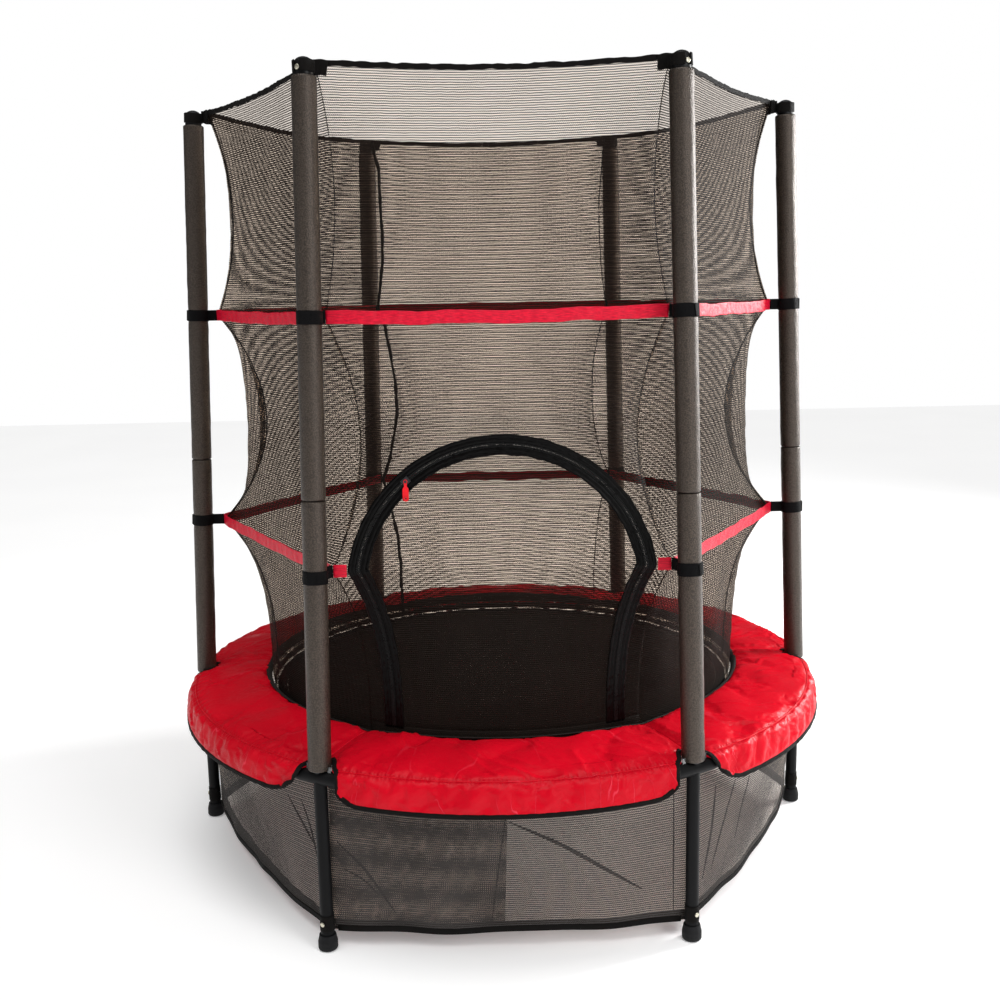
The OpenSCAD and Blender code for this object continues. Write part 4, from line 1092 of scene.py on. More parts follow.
class TRAMPOLINE_OT_mat(bpy.types.Operator):
    """Jumping mat with its stitched edge band and the webbing tabs that hold the rings"""

    bl_idname = "trampoline.mat"
    bl_label = "Jumping mat"

    def execute(self, context):
        cloth_r = MAT_R - MAT_BAND_W - 0.4
        x, y = disc_grid(cloth_r, 57)
        share = (x * x + y * y) / cloth_r**2
        z = MAT_Z + 1 - 2.2 * (1 - share) + 0.35 * (1 - share) * swell(x, y, 160, 3)
        rows = np.stack([x, y, z], axis=-1)
        shell = slab_shell(rows, (0, 0, -1.8), np.stack([x, y], axis=-1))
        mat = add_piece(
            "jumping_mat_cloth", shell, finish("mat_black"), "mat", ["jumping_mat"]
        )

        a = np.linspace(0, math.tau, BAND_POINTS, endpoint=False)
        mid_r = MAT_R - MAT_BAND_W / 2
        line = np.stack([mid_r * np.cos(a), mid_r * np.sin(a), np.full(a.shape, MAT_Z)], axis=1)
        section = band_section(MAT_BAND_W, 4.8, 10, 3) - (0, 2.4)
        bands = repeated(section, BAND_POINTS)
        quilt = np.abs(np.abs(bands[..., 0]) - 6.5) < 1.6
        bands[..., 1] *= np.where(quilt, 0.72, 1.0)
        band = add_piece(
            "mat_edge_webbing", sweep_shell(line, (0, 0, 1), bands, True), finish("webbing_black"),
            "mat",
            ["mat_edge_band"],
        )

        tabs, stitches = [], []
        for k in range(SPRINGS):
            turn = math.tau * (k + 0.5) / SPRINGS
            over = [(MAT_R - 17, 0, 3.1), (MAT_R - 8, 0, 3.2), (MAT_R - 0.5, 0, 3.0)]
            under = [(MAT_R - 0.5, 0, -3.0), (MAT_R - 8, 0, -3.2), (MAT_R - 17, 0, -3.1)]
            path = smooth_line(over + [(MAT_R + 2.2, 0, 0)] + under, 22)
            out = np.stack(
                [np.clip(path[:, 0] - MAT_R + 1, 0, 9), 0 * path[:, 0], path[:, 2]], axis=1
            )
            path[:, 2] += MAT_Z
            section = band_section(15, 1.0, 4) - (0, 0.5)
            tabs.append(sweep_shell(turned(path, turn), turned(out, turn), section))
            zigzag = np.array(
                [(MAT_R - 15 + 2.2 * q, (-5 if q % 2 else 5), MAT_Z + 3.9) for q in range(6)]
            )
            stitches.append(
                sweep_shell(turned(resample(zigzag, 26), turn), (0, 0, 1), round_section(0.45, 5))
            )
        ring_tabs = add_piece("ring_tabs", tabs, finish("webbing_black"), "mat")
        tab_stitches = add_piece(
            "tab_stitching", stitches, finish("webbing_black"), "mat"
        )
        return {"FINISHED"}


class TRAMPOLINE_OT_springs(bpy.types.Operator):
    """Thirty-six wound springs, each hooked to its ring and into the rail"""

    bl_idname = "trampoline.springs"
    bl_label = "Springs"

    def execute(self, context):
        sizes = context.scene.trampoline_sizes
        wire = sizes.spring_wire / MM / 2
        turns = sizes.spring_turns
        inner = np.array([RING_START_R + RING_R + RING_WIRE_R + 0.5, MAT_Z])
        outer = np.array([LEG_CIRCLE_R - TUBE_R + 2.5, RAIL_Z])
        run = float(np.linalg.norm(outer - inner))
        coil_start, coil_end, coil_r = 17.0, run - 22.0, 7.0 - wire
        theta = np.linspace(0, math.tau * turns, turns * 10 + 1)
        ramp = np.clip(np.minimum(theta, theta[-1] - theta) / (0.75 * math.pi), 0, 1)
        coil = coil_start + (coil_end - coil_start) * theta / theta[-1]
        ends = np.linspace(3.0, coil_start - 1, 5), np.linspace(coil_end + 1, run, 5)
        s = np.concatenate([ends[0], coil, ends[1]])
        rho = np.concatenate([np.zeros(5), coil_r * ramp, np.zeros(5)])
        angle = np.concatenate([np.zeros(5), theta, np.full(5, theta[-1])])
        eye_a = np.linspace(math.radians(-150), math.radians(115), 9)
        eye_r = RING_WIRE_R + wire + 0.35
        eye_x, eye_z = RING_START_R + RING_R + eye_r * np.sin(eye_a), MAT_Z + eye_r * np.cos(eye_a)
        eye = np.stack([eye_x, 0 * eye_a, eye_z], axis=1)
        way = (outer - inner) / run
        side = np.array([-way[1], way[0]])
        x = inner[0] + way[0] * s + side[0] * rho * np.sin(angle)
        z = inner[1] + way[1] * s + side[1] * rho * np.sin(angle)
        y = rho * np.cos(angle)
        path = np.concatenate([eye, np.stack([x, y, z], axis=1)])
        facing = np.concatenate([
            np.stack([np.sin(eye_a), 0 * eye_a, np.cos(eye_a)], axis=1),
            np.stack([side[0] * np.sin(angle), np.cos(angle), side[1] * np.sin(angle)], axis=1),
        ])
        for k in range(SPRINGS):
            turn = math.tau * (k + 0.5) / SPRINGS
            shell = sweep_shell(turned(path, turn), turned(facing, turn), round_section(wire, 6))
            spring = add_piece(f"spring_{k + 1}", shell, finish("zinc"), None, ["springs"])
            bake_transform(spring)
        return {"FINISHED"}


# ---- The safety pad ----

PAD_TOP = [
    (528.5, 364.5), (526.2, 367.5), (525.9, 372.0), (527.6, 377.4), (533.5, 381.8), (546.0, 384.0),
    (572.0, 383.6), (597.0, 381.8), (628.0, 377.4), (658.0, 372.4), (676.0, 368.8), (686.5, 366.2),
    (693.0, 363.2), (698.8, 357.4),
    (702.2, 348.0), (705.0, 332.0), (707.4, 316.0), (708.8, 304.3),
]
PAD_UNDER_R = [526, 545, 560, 597, 633, 672, 693, 700]
PAD_UNDER_Z = [363.4, 361.6, 361.9, 360.2, 356.4, 355.2, 355.2, 353.4]
PIPING_R = 689.5
INNER_FACE_R = 698.2
PAD_LIP_Z = 353.4
PAD_ARC_R = 700
VALANCE_START_R = 678
HEM_ROUND_W, HEM_ROUND_H = 44, 36
END_PUFF, MORE_PUFF = 0.66, 0.34
PAD_ROWS, PAD_COLS = 66, 151
# Flare and shoulder at a segment's ends: five of the segments, and the front one.
PAD_ENDS = ((66.0, 9.0), (56.0, 20.0))


def notch_gap(r, z, flare, shoulder):
    """Half of the gap between two segments: a seam, the pole's notch and the valance's flare."""
    reach = np.clip(pole_axis_r(z) - r, 0, NOTCH_R)
    notch = np.sqrt(NOTCH_R**2 - reach**2)
    past = np.clip((r - VALANCE_START_R) / 20, 0, 1)
    wide = NOTCH_R + shoulder * past * past * (3 - 2 * past)
    drop = np.clip((PAD_LOW_Z + 4 - z) / (PAD_LOW_Z + 4 - VALANCE_Z), 0, 1)
    below = np.where(r > VALANCE_START_R, wide + (flare - NOTCH_R - shoulder) * drop**1.3, 0)
    return np.maximum(np.maximum(notch, below), 0.7)


def pad_section(flare=NOTCH_HALF_W, shoulder=9.0):
    """Rows across the pad: outside and underside points, and the distance along the outside."""
    line = smooth_line(PAD_TOP, 600)
    gap = notch_gap(line[:, 0], line[:, 1], flare, shoulder)
    step = np.linalg.norm(np.diff(line, axis=0), axis=1) + 0.5 * np.abs(np.diff(gap))
    t = np.concatenate([[0], np.cumsum(step)])
    rows = np.stack(
        [np.interp(np.linspace(0, t[-1], PAD_ROWS), t, line[:, k]) for k in range(2)], axis=1
    )
    r, z = rows[:, 0], rows[:, 1]
    hanging = (r > INNER_FACE_R + 0.6) & (z < PAD_LIP_Z)
    under_r = np.where(hanging, np.maximum(INNER_FACE_R, r - 3.4), np.clip(r, 531, INNER_FACE_R))
    under_z = np.where(hanging, z, np.interp(under_r, PAD_UNDER_R, PAD_UNDER_Z))
    under_z = np.minimum(under_z, z - 0.2 * (r < 640))
    # Rows of the underside that fall on one point are parted, so that no face is empty.
    run = np.zeros(PAD_ROWS)
    for row in range(PAD_ROWS - 2, -1, -1):
        if math.hypot(under_r[row + 1] - under_r[row], under_z[row + 1] - under_z[row]) < 0.05:
            run[row] = run[row + 1] + 1
    under_r, under_z = under_r - 0.25 * run * (r < 640), under_z + 0.2 * run * (r >= 640)
    girth = distances(rows)
    return rows, np.stack([under_r, under_z], axis=1), girth


def piping_girth():
    """Distance of the piping from the pad's inner edge, along the outside."""
    rows, _, girth = pad_section()
    return float(np.interp(PIPING_R, rows[rows[:, 0].argmin():, 0], girth[rows[:, 0].argmin():]))


def pad_rows(side):
    """Outside and underside grids of a segment, its flat coordinates and its piping's row."""
    flare, shoulder = PAD_ENDS[side == FRONT]
    top, under, girth = pad_section(flare, shoulder)
    t = np.linspace(-1, 1, PAD_COLS)
    u = np.sign(t) * (1 - (1 - np.abs(t)) ** 1.12)
    gap = notch_gap(top[:, 0], top[:, 1], flare, shoulder)[:, None]
    phi = u[None] * (HALF_SIDE - np.arcsin(gap / top[:, 0:1]))
    under_phi = u[None] * (HALF_SIDE - np.arcsin(gap / under[:, 0:1]))
    z = top[:, 1:2] + 0 * phi
    start = np.abs(phi[:, -1:]) * PAD_ARC_R - HEM_ROUND_W
    corner = np.clip((np.abs(phi) * PAD_ARC_R - start) / HEM_ROUND_W, 0, 1)
    hem_lift = HEM_ROUND_H * (1 - np.sqrt(1 - corner**2 * 0.98))
    hang = np.clip((PAD_LIP_Z - top[:, 1:2]) / (PAD_LIP_Z - VALANCE_Z), 0, 1)
    z = z + 0.8 * hem_lift * hang**2
    puff = END_PUFF + MORE_PUFF * (1 - np.abs(u[None]) ** 6)
    base = under[:, 1:2]
    z = np.where(top[:, 1:2] > 354.6, base + (z - base) * puff, z)
    outside = on_side(side, top[:, 0:1] + 0 * phi, phi, z)
    under_z = under[:, 1:2] + 0.8 * hem_lift * hang**2
    inside = on_side(side, under[:, 0:1] + 0 * phi, under_phi, under_z)
    arc = phi * PAD_ARC_R
    piping = int(np.argmin(np.abs(top[:, 0] - PIPING_R) + 10 * (top[:, 1] < 350)))
    return outside, inside, arc, np.broadcast_to(girth[:, None], arc.shape), piping


def pad_relief(side, arc, girth, piping, height):
    """Creases and gathers of the cover, in millimetres along its normal."""
    seed = 100 + 10 * side
    at = girth - girth[piping, 0]
    valance = np.clip(at / 8, 0, 1)
    top = np.clip(-at / 12, 0, 1)
    gathers = swell(arc, 0 * arc, 17, seed) * np.exp(-np.abs(at) / 13)
    hang = swell(arc + 0.45 * at, 0.25 * at, 46, seed + 1) * valance
    pulls = crease(0.75 * arc + at, 0.9 * at - 0.5 * arc, 42, seed + 2) * valance
    cross = crease(arc - 0.8 * at, 0.6 * at, 70, seed + 3) * top
    broad = swell(arc, girth, 120, seed + 4) * np.clip(girth / 30, 0, 1) * top
    ends = np.clip((np.abs(arc) - 250) / 90, 0, 1)
    tugs = crease(at * 1.3, 0.5 * arc, 36, seed + 5) * ends * top
    relief = 0.5 * gathers + 1.2 * hang + 2.2 * pulls + 2.8 * cross + 1.7 * broad + 2.4 * tugs
    from_end = np.abs(arc[:, -1:]) - np.abs(arc)
    relief = relief * np.clip((from_end - 6) / 14, 0, 1) * np.clip(girth / 10, 0, 1)
    relief = relief * np.clip((girth[-1, 0] - girth - 7) / 12, 0, 1)
    return height / 1.6 * relief - 1.5 * np.exp(-((at / 3.2) ** 2))


class TRAMPOLINE_OT_pad(bpy.types.Operator):
    """Six padded segments with piping, gathers and creases"""

    bl_idname = "trampoline.pad"
    bl_label = "Safety pad"

    def execute(self, context):
        sizes = context.scene.trampoline_sizes
        for side, name in enumerate(SIDE_NAMES):
            outside, inside, arc, girth, piping = pad_rows(side)
            relief = pad_relief(side, arc, girth, piping, sizes.crease_height / MM)
            outside = outside - grid_normals(outside) * relief[..., None]
            rows = np.concatenate([outside, inside[::-1]])
            back = girth[-1, 0] + 4 + (girth[-1, 0] - girth[::-1])
            uv = np.stack([np.concatenate([arc, arc]), np.concatenate([girth, back])], axis=-1)
            points, faces, corners = grid_shell(rows, uv, wrap_rows=True, flip=True)
            n, m = PAD_ROWS, PAD_COLS
            ends = []
            for j in range(n - 1):
                a, b, c, d = j * m, (j + 1) * m, (2 * n - 2 - j) * m, (2 * n - 1 - j) * m
                ends.append([d, c, b, a])
                ends.append([a + m - 1, b + m - 1, c + m - 1, d + m - 1])
            corners = np.concatenate([corners, np.zeros((4 * len(ends), 2))])
            shell = (points, faces + ends, corners)
            pad = add_piece(
                f"pad_{name}", shell, finish("pad_red"), "frame", ["safety_pad"]
            )
            held = np.zeros((2 * n, m))
            held[n:] = 1
            held[:, :4] = held[:, -4:] = 1
            held[:2] = 1
            held[:n][girth > girth[-1, 0] - 10] = 1
            held[piping - 1:piping + 2] = 1
            settle(pad, held.ravel(), sizes.cover_slack, 0.6, 3.2)

            out = -grid_normals(outside)[piping]
            cord = sweep_shell(
                (outside[piping] + 0.5 * out)[2:-2], out[2:-2], round_section(1.5, 8)
            )
            add_piece(f"pad_piping_{name}", cord, finish("pad_red"), "frame")
        return {"FINISHED"}


BINDING_POINTS = 260
BINDING_SMOOTHING = 8


class TRAMPOLINE_OT_pad_binding(bpy.types.Operator):
    """Black binding round the notches, along the hem and round the inner edge of the pad; the inner
    edge's binding is painted lighter as if lit
    """

    bl_idname = "trampoline.pad_binding"
    bl_label = "Pad binding"

    def execute(self, context):
        for side, name in enumerate(SIDE_NAMES):
            outside = pad_rows(side)[0]
            normals = -grid_normals(outside)
            section = pad_section(*PAD_ENDS[side == FRONT])[0]
            first = int(np.argmax(section[:, 0] > pole_axis_r(372) - NOTCH_R + 0.5))
            edge = np.concatenate(
                [outside[first:, 0], outside[-1, 1:-1], outside[first:, -1][::-1]]
            )
            normal = np.concatenate(
                [normals[first:, 0], normals[-1, 1:-1], normals[first:, -1][::-1]]
            )
            line = resample(np.concatenate([edge, normal * 10], axis=1), BINDING_POINTS)
            for _ in range(BINDING_SMOOTHING):
                line[1:-1] = (line[:-2] + 2 * line[1:-1] + line[2:]) / 4
            centre = on_side(side, 640.0, 0.0, 345.0)
            path, out = line[:, :3], unit(line[:, 3:])
            way = unit(np.gradient(path, axis=0))
            inward = np.cross(out, way)
            if np.mean(np.sum(inward * (centre - path), axis=1)) < 0:
                inward = -inward
            number = np.arange(BINDING_POINTS)
            ripple = 0.35 * swell(number * 5.0, 0 * number, 28, 40 + side)
            path = path + inward * 3.2 + out * (-3.6 + ripple[:, None])
            shell = sweep_shell(path, out, band_section(9.4, 5.0, 6, 3))
            add_piece(
                f"pad_hem_binding_{name}", shell, finish("binding_black"), "frame"
            )

        phi = side_span(61)[:-1]
        facing = np.concatenate([outwards(side, phi) for side in range(SIDES)])
        section = np.array([
            (365.2, 525.5), (370.0, 523.9), (375.0, 524.2), (379.4, 526.6), (381.8, 530.2),
            (382.9, 534.6), (384.3, 534.6), (383.6, 529.8), (381.0, 525.4), (376.0, 522.7),
            (370.0, 522.3), (365.2, 524.2),
        ])
        seam = np.abs(np.concatenate([phi] * SIDES)) / HALF_SIDE
        sections = repeated(section, len(facing))
        puff = (END_PUFF + MORE_PUFF * (1 - seam**6))[:, None]
        sections[..., 0] = 363.4 + (sections[..., 0] - 363.4) * puff
        rows = facing[:, None] * sections[..., 1:2] + np.array([0, 0, 1]) * sections[..., 0:1]
        lengths = np.arange(len(facing)) * 9.2
        girth = np.arange(len(section)) * 2.6
        uv = np.stack(np.meshgrid(girth, lengths), axis=-1)
        shell = grid_shell(rows, uv, wrap=True, wrap_rows=True, flip=True)
        add_piece(
            # The inner edge's binding is the lighter copy of the black one: painted light.
            "pad_inner_binding", shell, finish("binding_painted_lit"), "frame",
            ["pad_binding"]
        )
        return {"FINISHED"}


# ---- The enclosure net ----


def net_shell(rows, uv):
    """A sheet of net as thick as its knit: the given face and one just behind it."""
    return slab_shell(rows, -KNIT_T * grid_normals(rows), uv)


def net_piece(name, rows, uv, node):
    """One sheet of net that stands for part of a node."""
    piece = add_piece(name, net_shell(rows, uv), finish("net_black"), "frame", [node])


def net_slack(z, phi, seed, depth):
    """Shallow drapes of a tier, inwards only and none along its edges."""
    broad = swell(WAVE_R * phi, 0.35 * z, 120, seed)
    return -depth * (0.5 + 0.35 * broad) - 0.25 * depth * swell(WAVE_R * phi, z, 45, seed + 1)


class TRAMPOLINE_OT_net(bpy.types.Operator):
    """Three tiers of net on six sides, the arched opening in front and the corner seams"""

    bl_idname = "trampoline.net"
    bl_label = "Enclosure net"

    def execute(self, context):
        phi = side_span(49)[None]
        for side, name in enumerate(SIDE_NAMES):
            t = np.linspace(0, 1, 31)[:, None]
            z = UPPER_STRAP_Z + (rim_height(phi) - UPPER_STRAP_Z) * t
            ease = 4 * t * (1 - t)
            r = top_r(z, phi) - NET_INSET + ease * net_slack(z, phi, 200 + side, 2.2)
            flat_z = UPPER_STRAP_Z + (RIM_Z - RIM_SAG / 2 - UPPER_STRAP_Z) * t + 0 * phi
            uv = np.stack([r * np.sin(phi), flat_z], axis=-1)
            net_piece(
                f"net_top_{name}", on_side(side, r, phi, z), uv, "net_top",
            )
            if side == FRONT:
                continue
            z = LOWER_STRAP_Z + (UPPER_STRAP_Z - LOWER_STRAP_Z) * np.linspace(0, 1, 37)[:, None]
            height = UPPER_STRAP_Z - LOWER_STRAP_Z
            ease = 4 * (z - LOWER_STRAP_Z) * (UPPER_STRAP_Z - z) / height**2
            r = middle_r(z, phi, False) - NET_INSET + ease * net_slack(z, phi, 220 + side, 3.0)
            uv = np.stack([r * np.sin(phi), z + 0 * phi], axis=-1)
            net_piece(
                f"net_middle_{name}", on_side(side, r, phi, z), uv, "net_middle"
            )
            z = NET_LOW_Z + (LOWER_STRAP_Z - NET_LOW_Z) * np.linspace(0, 1, 37)[:, None]
            height = LOWER_STRAP_Z - PAD_EDGE_Z
            ease = np.clip(4 * (z - PAD_EDGE_Z) * (LOWER_STRAP_Z - z) / height**2, 0, 1)
            slack = net_slack(z, phi, 240 + side, 3.0)
            r = lower_r(z, phi) + lower_fold(z, phi) - NET_INSET + ease * slack
            uv = np.stack([0.5 * (r + 560) * np.sin(phi), z + 0 * phi], axis=-1)
            net_piece(
                f"net_lower_{name}", on_side(side, r, phi, z), uv, "net_lower",
            )
        self.front()
        self.seams(context.scene.trampoline_sizes.seam_cord / MM / 2)
        return {"FINISHED"}

    def front(self):
        """The front side above the zip, beside it and below it."""
        corner = math.atan2(UPPER_STRAP_Z - ARCH_Z, front_corner_x(UPPER_STRAP_Z))
        rise = np.linspace(KNEE, corner, 17)[:-1]
        rays = np.concatenate(
            [math.pi - rise, np.linspace(math.pi - corner, corner, 49), rise[::-1]]
        )
        x = np.full(rays.shape, float(front_corner_x(LOWER_STRAP_Z + 1)))
        for _ in range(12):
            z = np.minimum(UPPER_STRAP_Z, ARCH_Z + x * np.abs(np.tan(rays)))
            x = front_corner_x(z)
        z = ARCH_Z + x * np.abs(np.tan(rays))
        over = z >= UPPER_STRAP_Z - 0.01
        edge_x = np.where(over, (UPPER_STRAP_Z - ARCH_Z) / np.tan(rays), np.sign(np.cos(rays)) * x)
        edge = np.stack([edge_x, np.minimum(z, UPPER_STRAP_Z)], axis=1)
        end_x = front_corner_x(LOWER_STRAP_Z)
        edge[0], edge[-1] = (-end_x, LOWER_STRAP_Z), (end_x, LOWER_STRAP_Z)
        arch_r = ARCH_R + 0.5
        arch = np.stack([arch_r * np.cos(rays), ARCH_Z + arch_r * np.sin(rays)], axis=1)
        t = np.linspace(0, 1, 25)[:, None, None]
        flat = arch * (1 - t) + edge * t
        flat[..., 1] = np.clip(flat[..., 1], LOWER_STRAP_Z, UPPER_STRAP_Z)
        self.front_piece("net_front_arch", flat, (0.62, 0.455), 0.2)

        z = np.linspace(SILL_Z, LOWER_STRAP_Z - 0.05, 33)[:, None]
        for name, side in (("net_front_left", -1), ("net_front_right", 1)):
            near, far = arch_leg_w(z) + 0.5, front_corner_x(z)
            x = np.sort(side * (near + (far - near) * np.linspace(0, 1, 9)[None]), axis=1)
            self.front_piece(name, np.stack([x, z + 0 * x], axis=-1), (0.07, 0.34), 0.021)
        phi = side_span(49)[None]
        z = np.linspace(NET_LOW_Z, SILL_Z, 7)[:, None]
        r = lower_r(z, phi) - NET_INSET
        uv = np.stack([r * np.sin(phi), z + 0 * phi], axis=-1)
        net_piece(
            "net_front_sill", on_side(FRONT, r, phi, z), uv, "net_front",
        )

    def front_piece(self, name, flat, size, area):
        """A piece of the front side from its x and z."""
        y = front_y(flat[..., 0], flat[..., 1]) + NET_INSET
        rows = np.stack([flat[..., 0], y, flat[..., 1]], axis=-1)
        piece = add_piece(
            name, net_shell(rows, flat), finish("net_black"), "frame", ["net_front"]
        )

    def seams(self, cord_r):
        """A cord along each corner of the net, thick where the spare net is gathered into it."""
        low = np.linspace(NET_LOW_Z + 4, LOWER_STRAP_Z, 40)
        middle = np.linspace(LOWER_STRAP_Z, UPPER_STRAP_Z, 50)[1:]
        z = np.concatenate([low, middle, np.linspace(UPPER_STRAP_Z, RIM_Z - 6, 40)[1:]])
        edge = np.full(z.shape, HALF_SIDE)
        above = np.where(z < UPPER_STRAP_Z, middle_r(z, edge, False), top_r(z, edge))
        r = np.where(z < LOWER_STRAP_Z, lower_r(z, edge), above)
        gathered = {"r": 1.0, "br": 0.8, "bl": 2.5, "l": 1.0, "fl": 0.45, "fr": 0.45}
        for corner, c in enumerate(CORNERS):
            thick = cord_r * gathered[c]
            swing = thick * (0.4 + 0.35 * swell(z, 0 * z, 90, 30 + corner))
            inside = r - NET_INSET - KNIT_T - thick - 0.4 - np.abs(swing)
            line = turned(
                np.stack([inside, swing * np.sin(z / 31), z], axis=1), corner_angle(corner)
            )
            out = heading(corner_angle(corner))
            lumps = 1 + 0.22 * swell(z, 0 * z, 26, 60 + corner)
            section = round_section(thick, 8)[None] * lumps[:, None, None]
            add_piece(
                f"net_seam_{c}", sweep_shell(line, out, section), finish("binding_black"), "frame",
            )


class TRAMPOLINE_OT_net_trim(bpy.types.Operator):
    """Rim binding, corner pockets on the pole caps, and the band along the bottom of the net"""

    bl_idname = "trampoline.net_trim"
    bl_label = "Net trim"

    def execute(self, context):
        phi = side_span(71)
        for side, name in enumerate(SIDE_NAMES):
            ease = np.clip((HALF_SIDE - np.abs(phi)) * 12, 0, 1)
            wave = 0.7 * swell(WAVE_R * phi, 0 * phi, 55, 300 + side) * ease
            z = rim_height(phi) - 3.4 + wave
            line = on_side(side, top_r(z, phi) + 0.15, phi, z)
            out = outwards(side, phi)
            section = band_section(9.6, 2.8, 6, 3) - (0, 0.4)
            lumps = 1 + 0.12 * swell(WAVE_R * phi, 0 * phi, 23, 320 + side)
            bands = section[None] * lumps[:, None, None]
            add_piece(
                f"rim_binding_{name}", sweep_shell(line[2:-2], out[2:-2], bands[2:-2]),
                finish("binding_black"), "frame",
                ["net_rim"],
            )
        for corner, c in enumerate(CORNERS):
            self.pocket(corner, c)
        rows, facing = [], []
        for side in range(SIDES):
            rows.append(
                on_side(side, lower_r(NET_LOW_Z + 6.0, phi[:-1]) + 0.7, phi[:-1], NET_LOW_Z + 5.6)
            )
            facing.append(outwards(side, phi[:-1]))
        shell = sweep_shell(
            np.concatenate(rows), np.concatenate(facing), band_section(12, 1.5, 4), True
        )
        add_piece(
            "net_hem_band", shell, finish("binding_black"), "frame", ["net_hem"]
        )
        return {"FINISHED"}

    def pocket(self, corner, c):
        """A sleeve round the cap and two flaps that hold the ends of the rim."""
        mid_z = RIM_Z - 12.0
        s = loop_s(mid_z)
        turn = corner_angle(corner)
        a = np.linspace(math.radians(17), math.radians(343), 44)
        ring = on_pole(corner, 17.6 * np.cos(a), 17.6 * np.sin(a), s - 2.5 + 0.6 * np.sin(2 * a))
        middle = on_pole(corner, 0.0, 0.0, s - 2.5)
        shells = [sweep_shell(ring, ring - middle, band_section(20, 1.7, 4))]
        for way in (-1, 1):
            along = heading(math.radians(way * 120))
            t = np.linspace(0, 1, 14)[:, None]
            line = np.array([RIM_CORNER_R + 2.2, 0, mid_z]) + along * (1 + 24 * t)
            line[:, 2] += -1.5 * t[:, 0] ** 2 + 0.6 * np.sin(7 * t[:, 0] + corner)
            out = heading(math.radians(way * 30))
            flap = band_section(26.5, 1.8, 6)
            section = repeated(flap, 14)
            section[..., 0] *= 1.02 - 0.06 * t
            section[..., 1] += (0.5 * np.sin(12 * t) * (flap[:, 1] > 0.9)) + 0.6 * t
            shells.append(sweep_shell(turned(line, turn), turned(out, turn), section))
        line = np.linspace([RIM_CORNER_R + 1, 0, mid_z], [pole_axis_r(mid_z) - 17.5, 0, mid_z], 6)
        across = heading(turn, (0.0, 1.0, 0.0))
        shells.append(sweep_shell(turned(line, turn), across, band_section(25, 2.4, 4) - (0, 1.2)))
        add_piece(
            f"rim_pocket_{c}", shells, finish("binding_black"), "frame",
            ["net_pockets"]
        )


# ---- Straps and loops ----


def strap_shell(side, corner_r, z, start, stop, seed):
    """One run of ribbon along a side, between two distances from its first corner."""
    count = max(8, int((stop - start) / 4))
    along = np.linspace(start, stop, count) - corner_r / 2
    flat = 0 * along
    ends = np.clip(np.minimum(along - along[0], along[-1] - along) / 25, 0, 1)
    x = corner_r * math.cos(HALF_SIDE) + 0.5 + 0.5 * ends * (1 + swell(along, flat, 60, seed))
    bow = 1 - (2 * along / corner_r) ** 2
    sag = 1.2 * swell(along, flat, 85, seed + 1) - 4.0 * (side > 2) * bow
    line = np.stack([x, along, z + ends * sag], axis=1)
    section = band_section(23.5, 1.5, 12, 2)
    sections = repeated(section, count)
    puckers = crease(
        along[:, None] + 0.5 * section[None, :, 0], 0.6 * section[None, :, 0], 26, seed + 2
    )
    waves = swell(along[:, None], 0.4 * section[None, :, 0], 19, seed + 3)
    face = section[None, :, 1] > 0.8
    sections[..., 1] += np.where(face, 0.9 * puckers + 0.35 * waves, 0) * ends[:, None]
    sections[..., 0] *= 1 + 0.035 * swell(along, flat, 30, seed + 4)[:, None] * ends[:, None]
    angle = side_angle(side)
    return sweep_shell(turned(line, angle), heading(angle), sections)


